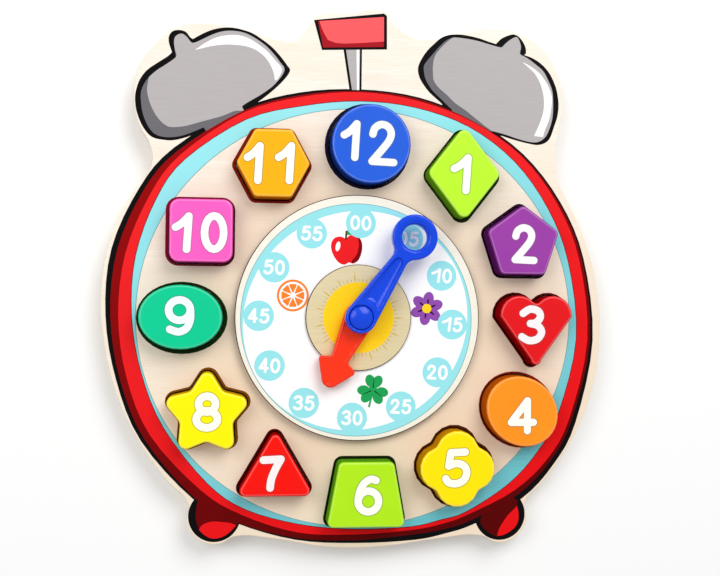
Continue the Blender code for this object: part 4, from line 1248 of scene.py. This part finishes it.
def orange_slice(middle, bearing):
    layers = [(INK["orange"], placed(oval((0, 0), 8.4, 8.4, count=60), middle, bearing))]
    layers.append((INK["dial_white"], placed(oval((0, 0), 7.2, 7.2, count=60), middle, bearing)))
    for wedge in range(8):
        turn = 45.0 * wedge
        piece = rounded(((0, 1.0, 0.3), (2.3, 6.0, 0.6), (-2.3, 6.0, 0.6)))
        layers.append((INK["orange"], placed(placed(piece, (0, 0), turn), middle, bearing)))
    return layers


def flower(middle, bearing):
    layers = []
    for ink_name, shape in (("violet", PETAL), ("plum", PETAL_VEIN)):
        for petal in range(6):
            layers.append((INK[ink_name], placed(placed(shape, (0, 0), 60.0 * petal), middle, bearing)))
    layers.append((INK["sun"], placed(oval((0, 0), 2.5, 2.5, count=36), middle, bearing)))
    return layers


def clover(middle, bearing):
    layers = [(INK["leaf"], placed(((-0.4, 0), (-1.6, -9.2), (-0.5, -9.4), (0.5, 0)), middle, bearing))]
    for petal in range(3):
        for side in (-1, 1):
            lobe = oval((side * 1.9, 4.6), 2.6, 3.4, bearing=side * 24.0, count=30)
            layers.append((INK["leaf"], placed(placed(lobe, (0, 0), 120.0 * petal), middle, bearing)))
    layers.append((INK["leaf"], placed(oval((0, 0), 2.4, 2.4, count=30), middle, bearing)))
    for petal in range(3):
        vein = ((-0.3, 1.0), (0.3, 1.0), (0.1, 6.0), (-0.1, 6.0))
        layers.append((INK["pine"], placed(placed(vein, (0, 0), 120.0 * petal), middle, bearing)))
    return layers


# Each drawing with its clock bearing, its distance from the hub and its lean.
DRAWINGS = (
    (apple, 350.0, 36.5, -8.0),
    (orange_slice, 288.0, 36.5, 0.0),
    (flower, 82.0, 37.0, 10.0),
    (clover, 168.0, 39.0, 6.0),
)

drawing_layers = []
for draw, bearing, radius, lean in DRAWINGS:
    drawing_layers += draw(spot(bearing, radius), lean)
drawings = printed("drawing", drawing_layers, DIAL_TOP, "board", raised=DRAWINGS_RAISED)
print("Drawings:", len(drawings), "inks,", triangles(*drawings), "triangles")

# %% The sun
SUN_BODY_RADIUS = 18.7
SHORT_RAYS = {"count": 60, "ring_radius": 19.7 * MM, "prism_size": Vector((1.6, 0.30, MARK_THICKNESS)) * MM}
LONG_RAYS = {"count": 15, "ring_radius": 20.9 * MM, "prism_size": Vector((3.4, 0.38, MARK_THICKNESS)) * MM}
RAY_ODD_SHARE = 0.8

sun_rays = [repeated_on_ring(
    f"{name}_sun_rays", "board", "sun_wood", sides=4, odd_share=RAY_ODD_SHARE,
    middle=Vector((0, 0, SUN_TOP + height)) * MM, finish=INK["ray"], **sizes)
    for name, sizes, height in (("short", SHORT_RAYS, 0.0), ("long", LONG_RAYS, LONG_RAYS_RAISED))]
sun_layers = [(INK["sun"], oval((0, 0), SUN_BODY_RADIUS, SUN_BODY_RADIUS, count=96))]
sun_print = printed("sun_print", sun_layers, SUN_TOP, "board", raised=SUN_RAISED)
print("Sun:", triangles(*sun_rays, *sun_print), "triangles")

# %% [markdown]
# ## The hands
#
# Both hands come out of an injection mould in glossy ABS. Each has a hub that is hollow beneath, and
# an end that tells the two apart: a broad arrow head for the hours and a finger ring for the minutes.
# A thin raised rim runs round the hour hand, and the minute hand's arm is scooped to a trough. A
# click spring sits in the hub's hollow, whose wall has twelve shallow notches. The outlines are built
# from tangent arcs, as a mould maker would draw them, and the trough is lofted down from its own
# edge to a line along its middle. The minute hand's seat for the cap has a rounded mouth, which
# leaves a narrow groove round the cap.

# %% Shared parts of a hand
HUB_RADIUS, HUB_WALL = 8.2, 1.7
NOTCH_DEPTH, NOTCH_COUNT, STEPS_PER_NOTCH = 0.6, 12, 6
CAVITY_DEPTH = 2.6
HAND_EASE, HAND_LOW_EASE, HAND_EASE_STEPS = 1.1, 0.4, 7
TROUGH_SHARES = (
    (0.0, 0.0), (0.04, 0.05), (0.10, 0.20), (0.18, 0.40), (0.28, 0.60), (0.40, 0.78),
    (0.55, 0.92), (0.75, 1.0),
)


def notched_ring():
    middle = HUB_RADIUS - HUB_WALL - NOTCH_DEPTH / 2
    count = STEPS_PER_NOTCH * NOTCH_COUNT
    points = []
    for step in range(count):
        angle = 2 * math.pi * step / count
        radius = middle + NOTCH_DEPTH / 2 * math.cos(NOTCH_COUNT * angle)
        points.append(Vector((radius * math.cos(angle), radius * math.sin(angle))))
    return points


def ring_points(radius, middle=(0.0, 0.0)):
    return oval(middle, radius, radius, count=STEPS_PER_NOTCH * NOTCH_COUNT)


def taper_angle(neck_half_width, neck_distance):
    """Angle between a hand's side and its middle line, from the hub's circle to the neck."""
    reach = math.hypot(neck_distance, neck_half_width)
    return math.asin(HUB_RADIUS / reach) - math.atan2(neck_half_width, neck_distance)


def trough(edge, spine_start, spine_end, top, depth):
    """Loops of a trough, from its edge down towards a line along its middle."""
    loops = []
    for share, sunk in TROUGH_SHARES:
        loop = []
        for point in edge:
            foot = Vector((0, min(max(point.y, spine_start), spine_end)))
            loop.append(point.lerp(foot, share))
        loops.append(at_level(loop, top - sunk * depth))
    return loops


def both_sides(right):
    """A whole outline from its right side, which starts and ends on the middle line."""
    return [Vector(point) for point in right] + [Vector((-x, y)) for x, y in reversed(right[1:-1])]


def moulded_hand(name, chains, lids, bearing, material):
    """A hand from loops drawn with its arm upwards, turned to its place."""
    turn = Matrix.Rotation(math.radians(-bearing), 3, "Z")
    turned_chains = [[[turn @ point for point in loop] for loop in chain] for chain in chains]
    turned_lids = [[[turn @ point for point in loop] for loop in lid] for lid in lids]
    hand = moulding(f"{name}_moulded", turned_chains, turned_lids, material, 32.0)
    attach(hand, name)
    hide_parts(name)
    return hand


# %% Hour hand
HOUR_BOTTOM, HOUR_TOP, HOUR_BEARING = 19.9, 24.5, 205.0
HOUR_TIP, HOUR_SHOULDER, HOUR_NECK = 43.6, 27.0, 24.2
HOUR_SHOULDER_HALF_WIDTH, HOUR_NECK_HALF_WIDTH = 11.1, 4.6
RED_ABS = moulded_abs("red_abs", "FD3208", "F42604")


def hour_outline():
    taper = taper_angle(HOUR_NECK_HALF_WIDTH, HOUR_NECK)
    corner = HUB_RADIUS * (1 + math.sin(taper)) / math.cos(taper)
    return cleaned(rounded((
        (-corner, -HUB_RADIUS, HUB_RADIUS), (corner, -HUB_RADIUS, HUB_RADIUS),
        (HOUR_NECK_HALF_WIDTH, HOUR_NECK, 1.5), (HOUR_SHOULDER_HALF_WIDTH, HOUR_SHOULDER, 1.8),
        (0, HOUR_TIP, 4.6),
        (-HOUR_SHOULDER_HALF_WIDTH, HOUR_SHOULDER, 1.8), (-HOUR_NECK_HALF_WIDTH, HOUR_NECK, 1.5),
    )))


HOUR_RIM_PROFILE = ((1.3, 0.0), (1.42, 0.05), (1.52, 0.16), (1.64, 0.28), (1.8, 0.35))
HOUR_FACE = HOUR_TOP - HOUR_RIM_PROFILE[-1][1]
hour_side = slab(hour_outline(), HOUR_BOTTOM, HOUR_TOP, HAND_EASE, HAND_LOW_EASE)
hour_hub = [
    at_level(ring_points(BORE_RADIUS), HOUR_FACE),
    at_level(ring_points(BORE_RADIUS), HOUR_BOTTOM + CAVITY_DEPTH),
    at_level(notched_ring(), HOUR_BOTTOM + CAVITY_DEPTH),
    at_level(notched_ring(), HOUR_BOTTOM),
]
hour_rim = [at_level(grown(hour_outline(), -inset), HOUR_TOP - depth) for inset, depth in HOUR_RIM_PROFILE]
hour_hand = moulded_hand(
    "hour_hand", [[*hour_side, *hour_rim], hour_hub],
    [[hour_side[0], hour_hub[-1]], [hour_rim[-1], hour_hub[0]]],
    HOUR_BEARING, RED_ABS)
print("Hour hand:", triangles(hour_hand), "triangles")

# %% Minute hand
MINUTE_BOTTOM, MINUTE_TOP, MINUTE_BEARING = 25.7, 31.5, 33.5
RING_DISTANCE, RING_RADIUS, RING_HOLE_RADIUS = 50.6, 11.9, 6.7
NECK_HALF_WIDTH, NECK_FILLET = 4.0, 6.0
SEAT_RADIUS, SEAT_DEPTH = 6.4, 1.9
BLUE_ABS = moulded_abs("blue_abs", "0244DE", "0236C2")


def minute_outline():
    neck = RING_DISTANCE - RING_RADIUS
    taper = taper_angle(NECK_HALF_WIDTH, neck)
    normal = Vector((math.cos(taper), math.sin(taper)))
    along = Vector((-math.sin(taper), math.cos(taper)))
    ring = Vector((0, RING_DISTANCE))
    offset = normal * (HUB_RADIUS + NECK_FILLET) - ring
    reach = RING_RADIUS + NECK_FILLET
    travel = -offset.dot(along) - math.sqrt(offset.dot(along) ** 2 - offset.length_squared + reach ** 2)
    fillet = ring + offset + along * travel
    to_ring = ring - fillet
    contact = math.atan2(to_ring.y, to_ring.x)
    right = arc((0, 0), HUB_RADIUS, -math.pi / 2, taper)
    right += arc(fillet, NECK_FILLET, math.pi + taper, contact)
    right += arc(ring, RING_RADIUS, contact - math.pi, math.pi / 2)[1:]
    return cleaned(right + [Vector((-point.x, point.y)) for point in reversed(right[1:-1])])


minute_side = slab(minute_outline(), MINUTE_BOTTOM, MINUTE_TOP, HAND_EASE, HAND_LOW_EASE)
# The seat's rounded mouth, as steps of extra radius and depth.
SEAT_MOUTH = ((0.70, 0.0), (0.45, 0.07), (0.20, 0.28), (0.05, 0.60), (0.0, 0.90))
minute_hub = [
    *[at_level(ring_points(SEAT_RADIUS + wider), MINUTE_TOP - deeper) for wider, deeper in SEAT_MOUTH],
    at_level(ring_points(SEAT_RADIUS), MINUTE_TOP - SEAT_DEPTH),
    at_level(ring_points(BORE_RADIUS), MINUTE_TOP - SEAT_DEPTH),
    at_level(ring_points(BORE_RADIUS), MINUTE_BOTTOM + CAVITY_DEPTH),
    at_level(notched_ring(), MINUTE_BOTTOM + CAVITY_DEPTH),
    at_level(notched_ring(), MINUTE_BOTTOM),
]
ring_middle = (0.0, RING_DISTANCE)
RING_PROFILE = (
    (8.9, 0.0), (8.75, 0.10), (8.6, 0.30), (8.3, 0.34), (7.9, 0.40), (7.4, 0.70), (6.95, 1.3), (6.7, 2.2),
    (6.7, 5.4), (6.85, 5.7), (7.1, 5.8),
)
ring_hole = [at_level(ring_points(radius, ring_middle), MINUTE_TOP - depth) for radius, depth in RING_PROFILE]
minute_edge = through(both_sides((
    (0, 9.0), (2.9, 8.6), (4.9, 7.9), (5.6, 8.8), (5.3, 12.0), (4.5, 20.0), (3.3, 30.0), (2.7, 34.6),
    (1.8, 36.6), (0, 37.4),
)), (2, 16))
minute_trough = trough(minute_edge, 13.0, 34.5, MINUTE_TOP, 1.5)
minute_hand = moulded_hand(
    "minute_hand", [minute_side, minute_hub, ring_hole, minute_trough],
    [
        [minute_side[0], minute_hub[-1], ring_hole[-1]],
        [minute_side[-1], minute_hub[0], ring_hole[0], minute_trough[0]],
        [minute_trough[-1]],
    ],
    MINUTE_BEARING, BLUE_ABS)
print("Minute hand:", triangles(minute_hand), "triangles")

# %% [markdown]
# ## The cap and the parts that hold the hands
#
# A domed cap is pressed on the post's end and covers the minute hand's hub. It stays still with the
# post while the hands turn. Beneath it the post, two washers and two click springs stay as the
# frame has them. They are pressed steel and white nylon, and they show only when the hands are off.

# %% Cap
CAP_RADIUS, CAP_BOTTOM, CAP_CROWN = 6.1, 29.9, 1.3
CAP_BORE_RADIUS, CAP_BORE_DEPTH = 2.8, 1.2
CROWN_STEPS = 12

sphere_radius = (CAP_RADIUS ** 2 + CAP_CROWN ** 2) / (2 * CAP_CROWN)
cap_chain = [
    at_level(ring_points(CAP_BORE_RADIUS), CAP_BOTTOM + CAP_BORE_DEPTH),
    at_level(ring_points(CAP_BORE_RADIUS), CAP_BOTTOM),
    at_level(ring_points(CAP_RADIUS), CAP_BOTTOM),
    at_level(ring_points(CAP_RADIUS), MINUTE_TOP - 0.60),
    at_level(ring_points(CAP_RADIUS - 0.06), MINUTE_TOP - 0.28),
    at_level(ring_points(CAP_RADIUS - 0.22), MINUTE_TOP - 0.05),
]
for step in range(1, CROWN_STEPS):
    radius = CAP_RADIUS * (1 - step / CROWN_STEPS)
    rise = math.sqrt(sphere_radius ** 2 - radius ** 2) - (sphere_radius - CAP_CROWN)
    cap_chain.append(at_level(ring_points(radius), MINUTE_TOP + rise))
cap = moulding("domed_cap", [cap_chain], [[cap_chain[0]], [cap_chain[-1]]], BLUE_ABS)
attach(cap, "board")
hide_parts("hub_cap")

# %% Post, washers and springs
CARRIED_OVER = {
    "pivot_post": STEEL,
    "hour_click_spring": STEEL,
    "minute_click_spring": STEEL,
    "lower_washer": WHITE_PLASTIC,
    "middle_washer": WHITE_PLASTIC,
}
for name, material in CARRIED_OVER.items():
    mesh = bpy.data.objects[name].data
    mesh.materials.clear()
    mesh.materials.append(material)
print("Cap:", triangles(cap), "triangles; carried over:", ", ".join(CARRIED_OVER))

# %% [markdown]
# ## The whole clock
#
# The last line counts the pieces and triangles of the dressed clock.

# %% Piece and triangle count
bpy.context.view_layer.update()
everything = [thing for thing in bpy.data.objects if thing.type == "MESH" and not thing.hide_render]
print("Whole clock:", triangles(*everything), "triangles in", len(everything), "pieces")
